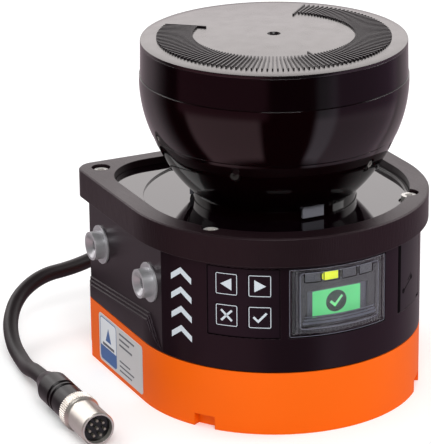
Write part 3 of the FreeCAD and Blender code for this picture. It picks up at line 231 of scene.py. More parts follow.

# Moulded skin: fine grain, slow changes of tone and gloss, edges that are rounded and lightened, partly as
# rubbed wear and partly as a painted highlight.
skin, given, result = new_group("moulded_skin", [
    ("Colour", "Color", (0.5, 0.5, 0.5, 1)),
    ("Mottle", "Float", 0.1),
    ("Roughness", "Float", 0.4),
    ("Uneven", "Float", 0.08),
    ("Grain Scale", "Float", 2500.0),
    ("Grain Depth", "Float", 0.00001),
    ("Edge Radius", "Float", 0.0003),
    ("Edge Rub And Sheen", "Float", 0.1),
], SKIN_RESULTS)
place = add(skin, "TexCoord").outputs["Object"]
patches = add(skin, "TexNoise", {"Vector": place, "Scale": 38.0, "Detail": 5.0}).outputs["Fac"]
grain = add(skin, "TexNoise", {"Vector": place, "Scale": given["Grain Scale"],
                               "Detail": 2.0}).outputs["Fac"]
rounded = add(skin, "Bevel", {"Radius": given["Edge Radius"]}, samples=6).outputs["Normal"]
flat_normal = add(skin, "NewGeometry").outputs["Normal"]
facing = add(skin, "VectorMath", {0: rounded, 1: flat_normal}, operation="DOT_PRODUCT").outputs["Value"]
edge = ramp_up(skin, facing, EDGE_STARTS, EDGE_FULL)
swing, toned = shaded(skin, patches, given["Colour"], given["Mottle"])
# Lighter edges: partly rubbed wear, partly a painted highlight where the edge would catch the light.
rubbed_and_lit = add(skin, "VectorMath", {0: toned, 1: (1.5, 1.5, 1.5), 2: (0.03, 0.03, 0.03)},
             operation="MULTIPLY_ADD").outputs[0]
rub_and_sheen = calc(skin, "MULTIPLY", edge, given["Edge Rub And Sheen"])
worn_and_lit = add(skin, "Mix", {"Factor": rub_and_sheen, 6: toned, 7: rubbed_and_lit}, data_type="RGBA").outputs[2]
rough = calc(skin, "ADD", given["Roughness"], calc(skin, "MULTIPLY", swing, given["Uneven"]))
raised = add(skin, "Bump", {"Height": grain, "Distance": given["Grain Depth"], "Strength": 1.0,
                            "Normal": rounded}).outputs["Normal"]
give(skin, result, worn_and_lit, rough, raised)


def new_material(name, roughness, **constants):
    """A material with one Principled shader, and the shader to link or set."""
    material = bpy.data.materials.new(name)
    material.use_nodes = True
    shader = material.node_tree.nodes["Principled BSDF"]
    shader.inputs["Roughness"].default_value = roughness
    for label, value in constants.items():
        shader.inputs[label.replace("_", " ")].default_value = value
    return material, shader


def use_group(material, shader, group, inputs, outputs):
    """Places a node group in a material, sets it, and links its outputs to the shader."""
    tree = material.node_tree
    made = add(tree, "Group", node_tree=group)
    for label, value in inputs.items():
        made.inputs[label].default_value = value
    for label, socket in outputs.items():
        tree.links.new(made.outputs[label], shader.inputs[socket])
    return made


def moulded(name, colour, roughness, grain=2500.0, depth=0.00001, mottle=0.1, uneven=0.06,
            edge=0.0003, rub_and_sheen=0.1, **constants):
    """A moulded or painted finish made with the skin group."""
    material, shader = new_material(name, roughness, **constants)
    use_group(material, shader, skin, {
        "Colour": (*colour, 1), "Mottle": mottle, "Roughness": roughness, "Uneven": uneven,
        "Grain Scale": grain, "Grain Depth": depth, "Edge Radius": edge, "Edge Rub And Sheen": rub_and_sheen,
    }, SKIN_LINKS)
    return material


def paint(material, *names):
    """Gives CAD nodes a material."""
    for name in names:
        for slot in nodes[name].material_slots:
            slot.material = material


LEAD_RADIUS = 2.9 * MM
LEAD_ROUTE = (
    (28, 66, 32),
    (28, 77.5, 32),
    (24, 88.3, 31),
    (16.6, 97, 29.6),
    (6.6, 102.4, 27.6),
    (-4.8, 103.4, 25.4),
    (-17.5, 100.4, 22.8),
    (-30.6, 95.2, 20.2),
    (-44, 90.6, 19.4),
    (-57.4, 87.6, 19.8),
    (-69.4, 82.3, 15.6),
    (-77.1, 72.6, 10),
    (-80.7, 60.4, 5.2),
    (-81.5, 48.6, 3),
    (-83.2, 38.4, 4.2),
    (-84, 28.8, 7),
    (-84, 19.2, 7),
)

lead_curve = bpy.data.curves.new("lead_jacket", "CURVE")
lead_curve.dimensions = "3D"
lead_line = lead_curve.splines.new("NURBS")
lead_line.points.add(len(LEAD_ROUTE) - 1)
for point, spot in zip(lead_line.points, LEAD_ROUTE):
    point.co = (*(Vector(spot) * MM), 1)
lead_line.order_u = 3
lead_line.use_endpoint_u = True
lead_line.resolution_u = 8
lead_curve.bevel_depth = LEAD_RADIUS
lead_curve.bevel_resolution = 8
lead = bpy.data.objects.new("lead_jacket", lead_curve)
bpy.context.collection.objects.link(lead)
lead_jacket = moulded("lead_jacket", (0.009, 0.0045, 0.006), 0.45, grain=900.0, depth=0.00003,
                      mottle=0.25, uneven=0.1, edge=0.0001, Specular_IOR_Level=0.3)
lead_curve.materials.append(lead_jacket)
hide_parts("lead")
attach(lead, "housing")


# ------------------------------------------------------------------ plug on the lead
# A moulded round plug: black body with two grip grooves, a nickel-plated screw collar with a fine
# knurl, and a black insert that holds eight plated pins.

plug_black = moulded("plug_black", (0.0035, 0.0018, 0.0028), 0.30, grain=1800.0, depth=0.00002,
                     Specular_IOR_Level=0.28)
insert_black = moulded("insert_black", (0.006, 0.006, 0.007), 0.25, depth=0.000004)
paint(plug_black, "plug_body", "strain_relief")
paint(insert_black, "plug_insert")

# Machined metal: fine tool marks and slow tarnish.
METAL_UNEVEN = 0.08
turned_skin, given, result = new_group("machined_skin", [
    ("Colour", "Color", (0.6, 0.6, 0.6, 1)),
    ("Tarnish", "Float", 0.15),
    ("Roughness", "Float", 0.3),
    ("Mark Scale", "Float", 2500.0),
    ("Mark Depth", "Float", 0.000004),
    ("Edge Radius", "Float", 0.00015),
], SKIN_RESULTS)
place = add(turned_skin, "TexCoord").outputs["Object"]
stain = add(turned_skin, "TexNoise", {"Vector": place, "Scale": 160.0, "Detail": 6.0}).outputs["Fac"]
marks = add(turned_skin, "TexNoise", {"Vector": place, "Scale": given["Mark Scale"],
                                      "Detail": 3.0}).outputs["Fac"]
rounded = add(turned_skin, "Bevel", {"Radius": given["Edge Radius"]}, samples=6).outputs["Normal"]
swing, toned = shaded(turned_skin, stain, given["Colour"], given["Tarnish"])
rough = calc(turned_skin, "ADD", given["Roughness"], calc(turned_skin, "MULTIPLY", swing, METAL_UNEVEN))
raised = add(turned_skin, "Bump", {"Height": marks, "Distance": given["Mark Depth"], "Strength": 1.0,
                                   "Normal": rounded}).outputs["Normal"]
give(turned_skin, result, toned, rough, raised)


def machined(name, colour, roughness, marks=2500.0, depth=0.000004, tarnish=0.15, edge=0.00015,
             metallic=1.0):
    """A bare or plated metal finish made with the machined skin. A dull one is less metallic."""
    material, shader = new_material(name, roughness, Metallic=metallic)
    use_group(material, shader, turned_skin, {
        "Colour": (*colour, 1), "Tarnish": tarnish, "Roughness": roughness,
        "Mark Scale": marks, "Mark Depth": depth, "Edge Radius": edge,
    }, SKIN_LINKS)
    return material


def new_piece(name, bm, material, body, smooth=30):
    """Makes a finished piece from a bmesh: it rides on a body, and is smooth but for its creases."""
    mesh = bpy.data.meshes.new(name)
    bmesh.ops.recalc_face_normals(bm, faces=bm.faces)
    bm.to_mesh(mesh)
    bm.free()
    mesh.shade_smooth()
    mesh.set_sharp_from_angle(angle=math.radians(smooth))
    mesh.materials.append(material)
    piece = bpy.data.objects.new(name, mesh)
    bpy.context.collection.objects.link(piece)
    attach(piece, body)
    return piece


PLUG_X = -84 * MM
PLUG_LEVEL = 7 * MM
COLLAR_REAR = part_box("plug_collar")[1][1]
COLLAR_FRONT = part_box("plug_collar")[0][1]
COLLAR_RADIUS = 7.0 * MM
COLLAR_BORE = 5.26 * MM
SLEEVE_RADIUS = 6.2 * MM
SLEEVE_NECK = SLEEVE_RADIUS - 0.35 * MM
COLLAR_LONG = COLLAR_REAR - COLLAR_FRONT
KNURL_RIBS = 54
KNURL_DEPTH = 0.32 * MM
KNURL_LONG = 5.6 * MM

nickel = machined("nickel", (0.74, 0.70, 0.64), 0.30, tarnish=0.15, metallic=0.8)
collar_profile = (
    # distance from the rear face, radius, depth of the ribs there
    (0.0, COLLAR_BORE, 0),
    (0.0, COLLAR_RADIUS - 0.7 * MM, 0),
    (0.5 * MM, COLLAR_RADIUS - 0.1 * MM, 0.3),
    (0.8 * MM, COLLAR_RADIUS, 1),
    (KNURL_LONG - 0.8 * MM, COLLAR_RADIUS, 1),
    (KNURL_LONG - 0.5 * MM, COLLAR_RADIUS - 0.1 * MM, 0.3),
    (KNURL_LONG, COLLAR_RADIUS - 0.6 * MM, 0),
    (KNURL_LONG, SLEEVE_RADIUS + 0.05 * MM, 0),
    (KNURL_LONG + 0.6 * MM, SLEEVE_NECK, 0),
    (KNURL_LONG + 1.5 * MM, SLEEVE_NECK, 0),
    (KNURL_LONG + 1.8 * MM, SLEEVE_RADIUS, 0),
    (COLLAR_LONG - 0.4 * MM, SLEEVE_RADIUS, 0),
    (COLLAR_LONG, SLEEVE_NECK, 0),
    (COLLAR_LONG, COLLAR_BORE, 0),
)
bm = bmesh.new()
rings = []
steps = KNURL_RIBS * 4  # two of every four corners stand on a rib
for along, radius, ribs in collar_profile:
    ring = []
    for step in range(steps):
        turn = 2 * math.pi * step / steps
        here = radius - ribs * KNURL_DEPTH * (step % 4 < 2)
        ring.append(bm.verts.new((PLUG_X + here * math.sin(turn), COLLAR_REAR - along,
                                  PLUG_LEVEL + here * math.cos(turn))))
    rings.append(ring)
for ring, after in zip(rings, rings[1:] + rings[:1]):
    for step in range(steps):
        other = (step + 1) % steps
        bm.faces.new((ring[step], ring[other], after[other], after[step]))
collar = new_piece("collar_knurled", bm, nickel, "plug_collar")
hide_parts("plug_collar")

pin_metal = machined("pin_metal", (0.42, 0.39, 0.32), 0.3, tarnish=0.1, metallic=0.85)
paint(pin_metal, "plug_pins")


# ------------------------------------------------------------------ coloured base
# The signal-orange lower shell, moulded in one piece. Steel socket screws hold it to the main
# housing from below, and black rubber gaskets seal the joints above it.

orange = moulded("orange_shell", (0.84, 0.118, 0.0), 0.42, grain=1500.0, depth=0.000012,
                 mottle=0.03, uneven=0.05, edge=0.0004, rub_and_sheen=0.12, Specular_IOR_Level=0.12)
paint(orange, "base_housing")

screw_steel = machined("screw_steel", (0.74, 0.72, 0.69), 0.38, marks=1400.0, depth=0.00001, metallic=0.55)
paint(screw_steel, "base_screws", "block_screws", "board_screws", "cover_screws", "deck_screws",
      "flap_hinge_pin")
rubber = moulded("gasket_rubber", (0.012, 0.011, 0.011), 0.7, grain=3000.0, depth=0.00002)
paint(rubber, "base_gasket", "cover_seal")


# ------------------------------------------------------------------ rating label
# A thin silver film stuck on the base's left flank. Its print is only plain shapes: a framed block
# with a triangle over a band, and rows of bars where a label has its small print.

label_film = moulded("label_film", (0.62, 0.62, 0.62), 0.35, grain=3500.0, depth=0.000003,
                     mottle=0.06, Metallic=0.15)
paint(label_film, "rating_label")

INK = 0.02 * MM
STRIP = 1.0 * MM


def printed(name, shapes, place_point, material, body, lift=INK):
    """Thin shapes, given as flat outlines, laid on a surface that place_point describes."""
    bm = bmesh.new()
    for outline in shapes:
        bm.faces.new([bm.verts.new((u, v, 0)) for u, v in outline])
    low = min(vert.co.x for vert in bm.verts)
    high = max(vert.co.x for vert in bm.verts)
    for cut in range(1, int((high - low) / STRIP) + 1):
        bmesh.ops.bisect_plane(bm, geom=bm.verts[:] + bm.edges[:] + bm.faces[:],
                               plane_co=(low + cut * STRIP, 0, 0), plane_no=(1, 0, 0))
    top = bmesh.ops.extrude_face_region(bm, geom=bm.faces[:])["geom"]
    raised = {item for item in top if isinstance(item, bmesh.types.BMVert)}
    for vert in bm.verts:
        out = lift if vert in raised else -lift
        vert.co = place_point(vert.co.x, vert.co.y, out)
    new_piece(name, bm, material, body, smooth=40)


def slab(u, v, wide, tall):
    """The outline of a rectangle about a middle point."""
    return [(u - wide / 2, v - tall / 2), (u + wide / 2, v - tall / 2),
            (u + wide / 2, v + tall / 2), (u - wide / 2, v + tall / 2)]


CORNER_STEPS = 6


def rounded_slab(u, v, wide, tall, radius):
    """The same with rounded corners."""
    outline = []
    for corner in range(4):
        turn = math.radians(90 * corner)
        across = (wide / 2 - radius) * (1 if corner in (0, 3) else -1)
        along = (tall / 2 - radius) * (1 if corner in (0, 1) else -1)
        for step in range(CORNER_STEPS + 1):
            here = turn + math.radians(90 / CORNER_STEPS * step)
            outline.append((u + across + radius * math.cos(here), v + along + radius * math.sin(here)))
    return outline


def frame_line(u, v, wide, tall, radius, line):
    """A rounded rectangle drawn with a line of even width, as separate four-sided pieces."""
    outer = rounded_slab(u, v, wide, tall, radius)
    inner = rounded_slab(u, v, wide - 2 * line, tall - 2 * line, radius - line)
    pieces = []
    for index in range(len(outer)):
        after = (index + 1) % len(outer)
        pieces.append([outer[index], outer[after], inner[after], inner[index]])
    return pieces


def middle_of(name):
    """The middle of a CAD node's box."""
    low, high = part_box(name)
    return [(low[axis] + high[axis]) / 2 for axis in range(3)]


LABEL_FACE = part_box("rating_label")[0][0]
LABEL_MIDDLE, LABEL_LEVEL = middle_of("rating_label")[1:]


def on_label(u, v, out):
    """Right across the label is towards the front of the scanner."""
    return Vector((LABEL_FACE - out, LABEL_MIDDLE - u, LABEL_LEVEL + v))


print_white = moulded("print_white", (0.72, 0.75, 0.78), 0.4, mottle=0.05, edge=0.00002, rub_and_sheen=0.0)
print_blue = moulded("print_blue", (0.035, 0.12, 0.33), 0.35, mottle=0.1, edge=0.00002, rub_and_sheen=0.0)
print_grey = moulded("print_grey", (0.10, 0.11, 0.13), 0.4, mottle=0.1, edge=0.00002, rub_and_sheen=0.0)
BLOCK_U = -11.2 * MM
BLOCK_WIDE = 14.2 * MM
BLOCK_FRAME = 0.4 * MM
BAND_TALL = 4.6 * MM
BARS_START = -1.0 * MM
LOWER_INK = 0.01 * MM
UPPER_INK = 0.03 * MM
printed("label_block_edge",
        [rounded_slab(BLOCK_U, 0, BLOCK_WIDE + 2 * BLOCK_FRAME, 17.2 * MM, 1.6 * MM)], on_label,
        print_blue, "housing", lift=LOWER_INK)
printed("label_block", [rounded_slab(BLOCK_U, 0.9 * MM, BLOCK_WIDE, 14.6 * MM, 1.3 * MM)], on_label,
        print_white, "housing")
printed("label_band", [slab(BLOCK_U, -5.2 * MM, BLOCK_WIDE, BAND_TALL)], on_label, print_blue,
        "housing", lift=UPPER_INK)
triangle = [(BLOCK_U - 2.6 * MM, -0.2 * MM), (BLOCK_U + 2.6 * MM, -0.2 * MM), (BLOCK_U, 5.4 * MM)]
printed("label_mark", [triangle], on_label, print_blue, "housing", lift=UPPER_INK)
label_bars = [slab(BLOCK_U, -1.9 * MM, 10.5 * MM, 1.1 * MM)]
for top_row, row_step, bar_tall, widths in ((7.2, 2.2, 0.75, (13.5, 9.0, 11.5)),
                                            (-3.6, 1.9, 0.6, (9.5, 13.0, 11.0))):
    for row, wide in enumerate(widths):
        label_bars.append(slab(BARS_START + wide / 2 * MM, (top_row - row_step * row) * MM, wide * MM,
                               bar_tall * MM))
printed("label_bars", label_bars, on_label, print_grey, "housing", lift=UPPER_INK)


# ------------------------------------------------------------------ main housing
# The black middle shell, moulded with a fine satin grain. Panels for the keys, the display and
# the service socket are let into its round front, and the lead's block into its rear.

housing_black = moulded("housing_black", (0.0085, 0.0032, 0.0058), 0.30, grain=1600.0, depth=0.000014,
                        mottle=0.12, uneven=0.05, edge=0.00035, rub_and_sheen=0.35, Specular_IOR_Level=0.36,
                        Specular_Tint=(1.0, 0.84, 0.94, 1))
paint(housing_black, "main_housing", "connector_block")

BODY_RADIUS = 53.2 * MM


def on_wall(angle, level, radius):
    """Places flat outlines on a round wall, about a direction and a height."""
    def place_point(u, v, out):
        turn = math.radians(angle) + u / radius
        reach = radius + out
        return Vector((reach * math.sin(turn), -reach * math.cos(turn), level + v))
    return place_point


# A plain vertical row of chevrons in light grey ink stands where makers print a name.
wall_ink = moulded("wall_ink", (0.55, 0.60, 0.65), 0.4, grain=2600.0, depth=0.000006, mottle=0.06,
                   edge=0.00002, rub_and_sheen=0.0)
SIDE_MARK_ANGLE = -65.2
SIDE_MARK_LEVEL = 45.5 * MM
MARK_WIDE = 9.3 * MM
MARK_STEP = 7.3 * MM
MARK_TALL = 5.6 * MM
MARK_THICK = 2.3 * MM
MARK_COUNT = 4
half_wide = MARK_WIDE / 2
half_tall = MARK_TALL / 2
chevrons = []
for row in range(MARK_COUNT):
    v = (row - (MARK_COUNT - 1) / 2) * MARK_STEP
    foot, tip = v - half_tall, v + half_tall
    chevrons.append([(-half_wide, foot), (0, tip - MARK_THICK), (0, tip), (-half_wide, foot + MARK_THICK)])
    chevrons.append([(0, tip - MARK_THICK), (half_wide, foot), (half_wide, foot + MARK_THICK), (0, tip)])
printed("side_mark", chevrons, on_wall(SIDE_MARK_ANGLE, SIDE_MARK_LEVEL, BODY_RADIUS), wall_ink,
        "housing")


# ------------------------------------------------------------------ side fixing bushes
# Turned steel bushes pressed into both flanks, two on each. A fixing bracket sits over their ends
# and is bolted to the thread inside them.

bush_steel = machined("bush_steel", (0.60, 0.60, 0.62), 0.42, marks=1100.0, depth=0.000012, tarnish=0.2,
                      metallic=0.7)
paint(bush_steel, "side_fixing_bushes")


# ------------------------------------------------------------------ cover ring
# The thick ring that closes the housing. Its top is finely brushed before it is painted, so the
# paint shows short strokes.

cover_black, cover_shader = new_material("cover_paint", 0.34, Specular_IOR_Level=0.27,
                                         Specular_Tint=(1.0, 0.84, 0.90, 1))
cover_tree = cover_black.node_tree
# The ring's edges take the full lightening: a painted highlight along its rounded top edge.
cover_skin = use_group(cover_black, cover_shader, skin, {
    "Colour": (0.013, 0.006, 0.008, 1), "Mottle": 0.15, "Roughness": 0.34, "Uneven": 0.1,
    "Grain Scale": 1500.0, "Grain Depth": 0.000012, "Edge Radius": 0.0004, "Edge Rub And Sheen": 1.0,
}, {"Colour": "Base Color", "Roughness": "Roughness"})
strokes_place = add(cover_tree, "TexCoord").outputs["Object"]
BRUSHED_WAY = math.radians(38)
strokes_turned = add(cover_tree, "Mapping", {"Vector": strokes_place, "Rotation": (0, 0, BRUSHED_WAY),
                                             "Scale": (3200.0, 260.0, 260.0)}).outputs[0]
strokes = add(cover_tree, "TexNoise", {"Vector": strokes_turned, "Scale": 1.0,
                                       "Detail": 3.0}).outputs["Fac"]
stroke_bump = add(cover_tree, "Bump", {"Height": strokes, "Distance": 0.00009, "Strength": 1.0,
                                       "Normal": cover_skin.outputs["Normal"]}).outputs["Normal"]
cover_tree.links.new(stroke_bump, cover_shader.inputs["Normal"])
paint(cover_black, "cover_ring")


# ------------------------------------------------------------------ dish
# The polished black floor inside the cover ring, moulded with a shallow bowl for the hood's foot.
# It mirrors the hood and the room behind it.

dish_gloss = moulded("dish_gloss", (0.003, 0.001, 0.002), 0.05, grain=300.0, depth=0.000001,
                     mottle=0.1, uneven=0.02, edge=0.0003, rub_and_sheen=0.1, IOR=1.7)
paint(dish_gloss, "dish_plate")


# ------------------------------------------------------------------ optics hood
# The one-piece goblet that the laser looks through: infrared-clear plastic that is black to the
# eye and polished all over.

hood_gloss = moulded("hood_gloss", (0.0022, 0.0002, 0.0004), 0.07, grain=260.0, depth=0.0000012,
                     mottle=0.1, uneven=0.025, edge=0.0003, rub_and_sheen=0.1, IOR=1.6)
paint(hood_gloss, "optics_hood")
foot_window = moulded("foot_window", (0.20, 0.20, 0.23), 0.3, grain=1200.0, depth=0.00001)
paint(foot_window, "foot_light_windows")
sensor_lens = moulded("sensor_lens", (0.006, 0.0015, 0.002), 0.45, grain=900.0, depth=0.000004, edge=0.0002,
                      Specular_IOR_Level=0.15)
paint(sensor_lens, "soil_sensor_lenses")


# ------------------------------------------------------------------ cap and scale plate
# The black cap closes the hood. The plate glued on it is dark anodised aluminium with a slight
# dome, a dimple at its centre, and an angle scale of low black ribs that stand 2.5 degrees apart.

cap_gloss = moulded("cap_gloss", (0.0022, 0.0004, 0.0008), 0.12, grain=700.0, depth=0.000003, mottle=0.1,
                    uneven=0.04, edge=0.0004, rub_and_sheen=0.3)
paint(cap_gloss, "hood_cap")

PLATE_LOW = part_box("scale_plate")[0][2]
PLATE_RADIUS = 47.75 * MM
PLATE_EDGE = 1.2 * MM
PLATE_CROWN = 1.3 * MM
DOME_RADIUS = PLATE_RADIUS - 0.5 * MM
DIMPLE_RADIUS = 2.4 * MM
DIMPLE_DEPTH = 0.8 * MM
SCALE_STEP = 2.5  # degrees from rib to rib
SCALE_SPAN = 275  # degrees, centred on the front
RIB_WIDE = 0.52 * MM
RIB_TALL = 0.62 * MM
SCALE_OUTER = 41.9 * MM
SCALE_INNER = 29.0 * MM
SCALE_LONG = 26.0 * MM  # the ribs in the middle and at both ends start here
CLOSE = 0.01 * MM
PLATE_METAL = 0  # the order of the plate's two materials
RIB_PAINT = 1


def dome_level(radius):
    """The height of the domed top at a distance from its middle."""
    return PLATE_LOW + PLATE_EDGE + PLATE_CROWN * (1 - (radius / DOME_RADIUS) ** 2)


plate_rings = [(DIMPLE_RADIUS - 0.4 * MM, dome_level(DIMPLE_RADIUS) - DIMPLE_DEPTH)]
for radius in (DIMPLE_RADIUS, 8 * MM, 14 * MM, 20 * MM, SCALE_LONG, SCALE_INNER, 32.5 * MM, 36 * MM,
               39 * MM, SCALE_OUTER, 44.6 * MM, DOME_RADIUS):
    plate_rings.append((radius, dome_level(radius)))
plate_rings += [(PLATE_RADIUS - 0.1 * MM, PLATE_LOW + PLATE_EDGE - 0.12 * MM),
                (PLATE_RADIUS, PLATE_LOW + PLATE_EDGE - 0.5 * MM), (PLATE_RADIUS, PLATE_LOW)]
cells = int(360 / SCALE_STEP)
marked = int(SCALE_SPAN / 2 / SCALE_STEP)
cell_turn = math.radians(SCALE_STEP)
bm = bmesh.new()
plate_verts = []
for radius, level in plate_rings:
    half = RIB_WIDE / 2 / radius if radius > SCALE_LONG / 2 else cell_turn / 6
    ring = []
    for cell in range(cells):
        middle = cell * cell_turn
        for turn in (middle - cell_turn / 2, middle - half, middle + half):
            ring.append(bm.verts.new((radius * math.sin(turn), -radius * math.cos(turn), level)))
    plate_verts.append(ring)


def raise_rib(bm, corners, at_start, at_end):
    """Raises one stretch of a rib, with an end wall where the rib starts or stops."""
    raised = [bm.verts.new(corner.co + Vector((0, 0, RIB_TALL))) for corner in corners]
    walls = [(1, 2), (3, 0)]
    if at_start:
        walls.append((0, 1))
    if at_end:
        walls.append((2, 3))
    faces = [bm.faces.new(raised)]
    faces += [bm.faces.new((corners[a], corners[b], raised[b], raised[a])) for a, b in walls]
    for face in faces:
        face.material_index = RIB_PAINT


around_count = 3 * cells
for index, (ring, after) in enumerate(zip(plate_verts, plate_verts[1:])):
    inner_radius, outer_radius = plate_rings[index][0], plate_rings[index + 1][0]
    for spot in range(around_count):
        other = (spot + 1) % around_count
        corners = (ring[spot], ring[other], after[other], after[spot])
        cell, part_of_cell = divmod(spot, 3)
        away = min(cell, cells - cell)
        start = SCALE_LONG if away in (0, marked) else SCALE_INNER
        on_scale = away <= marked and start - CLOSE < inner_radius and outer_radius < SCALE_OUTER + CLOSE
        if on_scale and part_of_cell == 1:
            at_start = abs(inner_radius - start) < CLOSE
            at_end = abs(outer_radius - SCALE_OUTER) < CLOSE
            raise_rib(bm, corners, at_start, at_end)
        else:
            bm.faces.new(corners).material_index = RIB_PAINT if index == 0 else PLATE_METAL
# The dimple's wall and floor take the ribs' black, so the dimple shows darker than the plate.
bm.faces.new(plate_verts[0]).material_index = RIB_PAINT
bm.faces.new(plate_verts[-1])
bmesh.ops.remove_doubles(bm, verts=bm.verts[:], dist=CLOSE / 10)
plate_metal = machined("plate_metal", (0.155, 0.150, 0.147), 0.25, marks=1500.0, depth=0.000002,
                       tarnish=0.04, edge=0.0001)
plate = new_piece("scale_plate_cut", bm, plate_metal, "housing")
rib_black = moulded("rib_black", (0.010, 0.006, 0.008), 0.32, grain=2400.0, depth=0.000004, mottle=0.2,
                    edge=0.00005, rub_and_sheen=0.2)
plate.data.materials.append(rib_black)
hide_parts("scale_plate")


# ------------------------------------------------------------------ keypad
# Four square keys in an inset panel, moulded in the black of the housing. Each has a thin printed
# border and a sign, and a dark gap runs round the panel.

key_black = moulded("key_black", (0.010, 0.004, 0.008), 0.34, grain=1600.0, depth=0.000012, mottle=0.1,
                    edge=0.0002, rub_and_sheen=0.3, Specular_IOR_Level=0.36, Specular_Tint=(1.0, 0.84, 0.96, 1))
paint(key_black, "key_left", "key_right", "key_cancel", "key_confirm", "keypad_panel")
KEY_FACE = BODY_RADIUS - 0.15 * MM
KEY_BORDER = 7.9 * MM
KEY_LINE = 0.26 * MM
SIGN_LINE = 0.8 * MM
PAD_WIDE = 26.8 * MM
PAD_TALL = 26.2 * MM
PAD_GAP = 0.38 * MM
OVERSHOOT = 0.99


def stroke(points, wide):
    """A bent line of even width, as four-sided pieces that reach half a width past their points."""
    pieces = []
    for (u0, v0), (u1, v1) in zip(points, points[1:]):
        long = math.hypot(u1 - u0, v1 - v0)
        du, dv = (u1 - u0) / long * wide / 2, (v1 - v0) / long * wide / 2
        u0, v0 = u0 - du * OVERSHOOT, v0 - dv * OVERSHOOT
        u1, v1 = u1 + du * OVERSHOOT, v1 + dv * OVERSHOOT
        pieces.append([(u0 + dv, v0 - du), (u1 + dv, v1 - du), (u1 - dv, v1 + du), (u0 - dv, v0 + du)])
    return pieces


def scaled(points):
    """Points in millimetres as metres."""
    return [(u * MM, v * MM) for u, v in points]


SIGNS = {
    "key_left": [scaled(((-2.2, 0), (1.9, -2.25), (1.9, 2.25)))],
    "key_right": [scaled(((2.2, 0), (-1.9, 2.25), (-1.9, -2.25)))],
    "key_cancel": stroke(scaled(((-1.7, -1.7), (1.7, 1.7))), SIGN_LINE)
    + stroke(scaled(((-1.7, 1.7), (1.7, -1.7))), SIGN_LINE),
    "key_confirm": stroke(scaled(((-2.0, -0.1), (-0.6, -1.5), (2.1, 1.4))), SIGN_LINE),
}
PAD_ANGLE = -39.0
PAD_LEVEL = middle_of("keypad_panel")[2]
gap_dark = moulded("gap_dark", (0.0008, 0.0003, 0.0006), 0.6, grain=2000.0, depth=0.00001, edge=0.00005,
                   rub_and_sheen=0.0, Specular_IOR_Level=0.06)
printed("keypad_gap", frame_line(0, 0, PAD_WIDE, PAD_TALL, 0.5 * MM, PAD_GAP),
        on_wall(PAD_ANGLE, PAD_LEVEL, BODY_RADIUS - 0.04 * MM), gap_dark, "housing",
        lift=0.03 * MM)
for name, shapes in SIGNS.items():
    key_x, key_y, key_level = middle_of(name)
    on_key = on_wall(math.degrees(math.atan2(key_x, -key_y)), key_level, KEY_FACE)
    border = frame_line(0, 0, KEY_BORDER, KEY_BORDER, 0.6 * MM, KEY_LINE)
    printed(name + "_sign", shapes, on_key, wall_ink, name)
    printed(name + "_border", border, on_key, wall_ink, name)


# ------------------------------------------------------------------ display
# A clear window over a stepped grey frame. Behind it are four light guides, the second one lit,
# and a small green display that shows a tick.

glass, glass_shader = new_material("window_glass", 0.02, Transmission_Weight=1.0, IOR=1.49)
use_group(glass, glass_shader, skin, {
    "Colour": (0.93, 0.94, 0.97, 1), "Mottle": 0.02, "Roughness": 0.02, "Uneven": 0.01,
    "Grain Scale": 200.0, "Grain Depth": 0.0000005, "Edge Radius": 0.0002, "Edge Rub And Sheen": 0.0,
}, SKIN_LINKS)
paint(glass, "display_window")
# The frame and the light guides take strong edge lightening: painted highlights on their edges.
bezel_grey = moulded("bezel_grey", (0.036, 0.030, 0.043), 0.32, grain=1500.0, depth=0.00001, rub_and_sheen=1.0)
paint(bezel_grey, "display_bezel")
guide_smoke = moulded("guide_smoke", (0.075, 0.075, 0.10), 0.15, grain=600.0, depth=0.00001, rub_and_sheen=0.9)
paint(guide_smoke, "status_light_guides")


GLOW = 0.75


def lit(name, colour, dots_per_metre):
    """A part that glows, crossed by a faint grid of dots."""
    material, shader = new_material(name, 0.3)
    tree = material.node_tree
    spots = add(tree, "TexCoord").outputs["Object"]
    fine = add(tree, "TexVoronoi", {"Vector": spots, "Scale": dots_per_metre, "Randomness": 0.0},
               distance="CHEBYCHEV").outputs["Distance"]
    slow = add(tree, "TexNoise", {"Vector": spots, "Scale": 90.0, "Detail": 2.0}).outputs["Fac"]
    dots = ramp_up(tree, fine, 0.52, 0.40)
    level = calc(tree, "ADD", calc(tree, "MULTIPLY", dots, 0.12), calc(tree, "MULTIPLY", slow, 0.2))
    level = calc(tree, "ADD", level, 0.78)
    glow = add(tree, "VectorMath", {0: colour, "Scale": level}, operation="SCALE").outputs[0]
    tree.links.new(glow, shader.inputs["Emission Color"])
    tree.links.new(glow, shader.inputs["Base Color"])
    shader.inputs["Emission Strength"].default_value = GLOW
    return material


guide_lit = lit("guide_lit", (0.80, 0.90, 0.0), 900.0)
paint(guide_lit, "lit_light_guide")
screen_grey = moulded("screen_grey", (0.13, 0.13, 0.18), 0.12, depth=0.000002)
paint(screen_grey, "lcd_module")
SCREEN_DOTS = 2600.0
screen_green = lit("screen_green", (0.10, 0.60, 0.20), SCREEN_DOTS)
screen_dark = moulded("screen_dark", (0.004, 0.055, 0.028), 0.3, depth=0.000002, mottle=0.2)
screen_light = lit("screen_light", (0.18, 0.62, 0.26), SCREEN_DOTS)

SCREEN_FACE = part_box("lcd_module")[0][1]
SCREEN_MIDDLE = middle_of("lcd_module")[0]
SCREEN_LEVEL = 47.35 * MM
LIT_WIDE = 18.7 * MM
LIT_TALL = 9.9 * MM
DISC_RADIUS = 4.0 * MM
DISC_CORNERS = 40


def on_screen(u, v, out):
    """Flat outlines on the front of the display."""
    return Vector((SCREEN_MIDDLE + u, SCREEN_FACE - out, SCREEN_LEVEL + v))


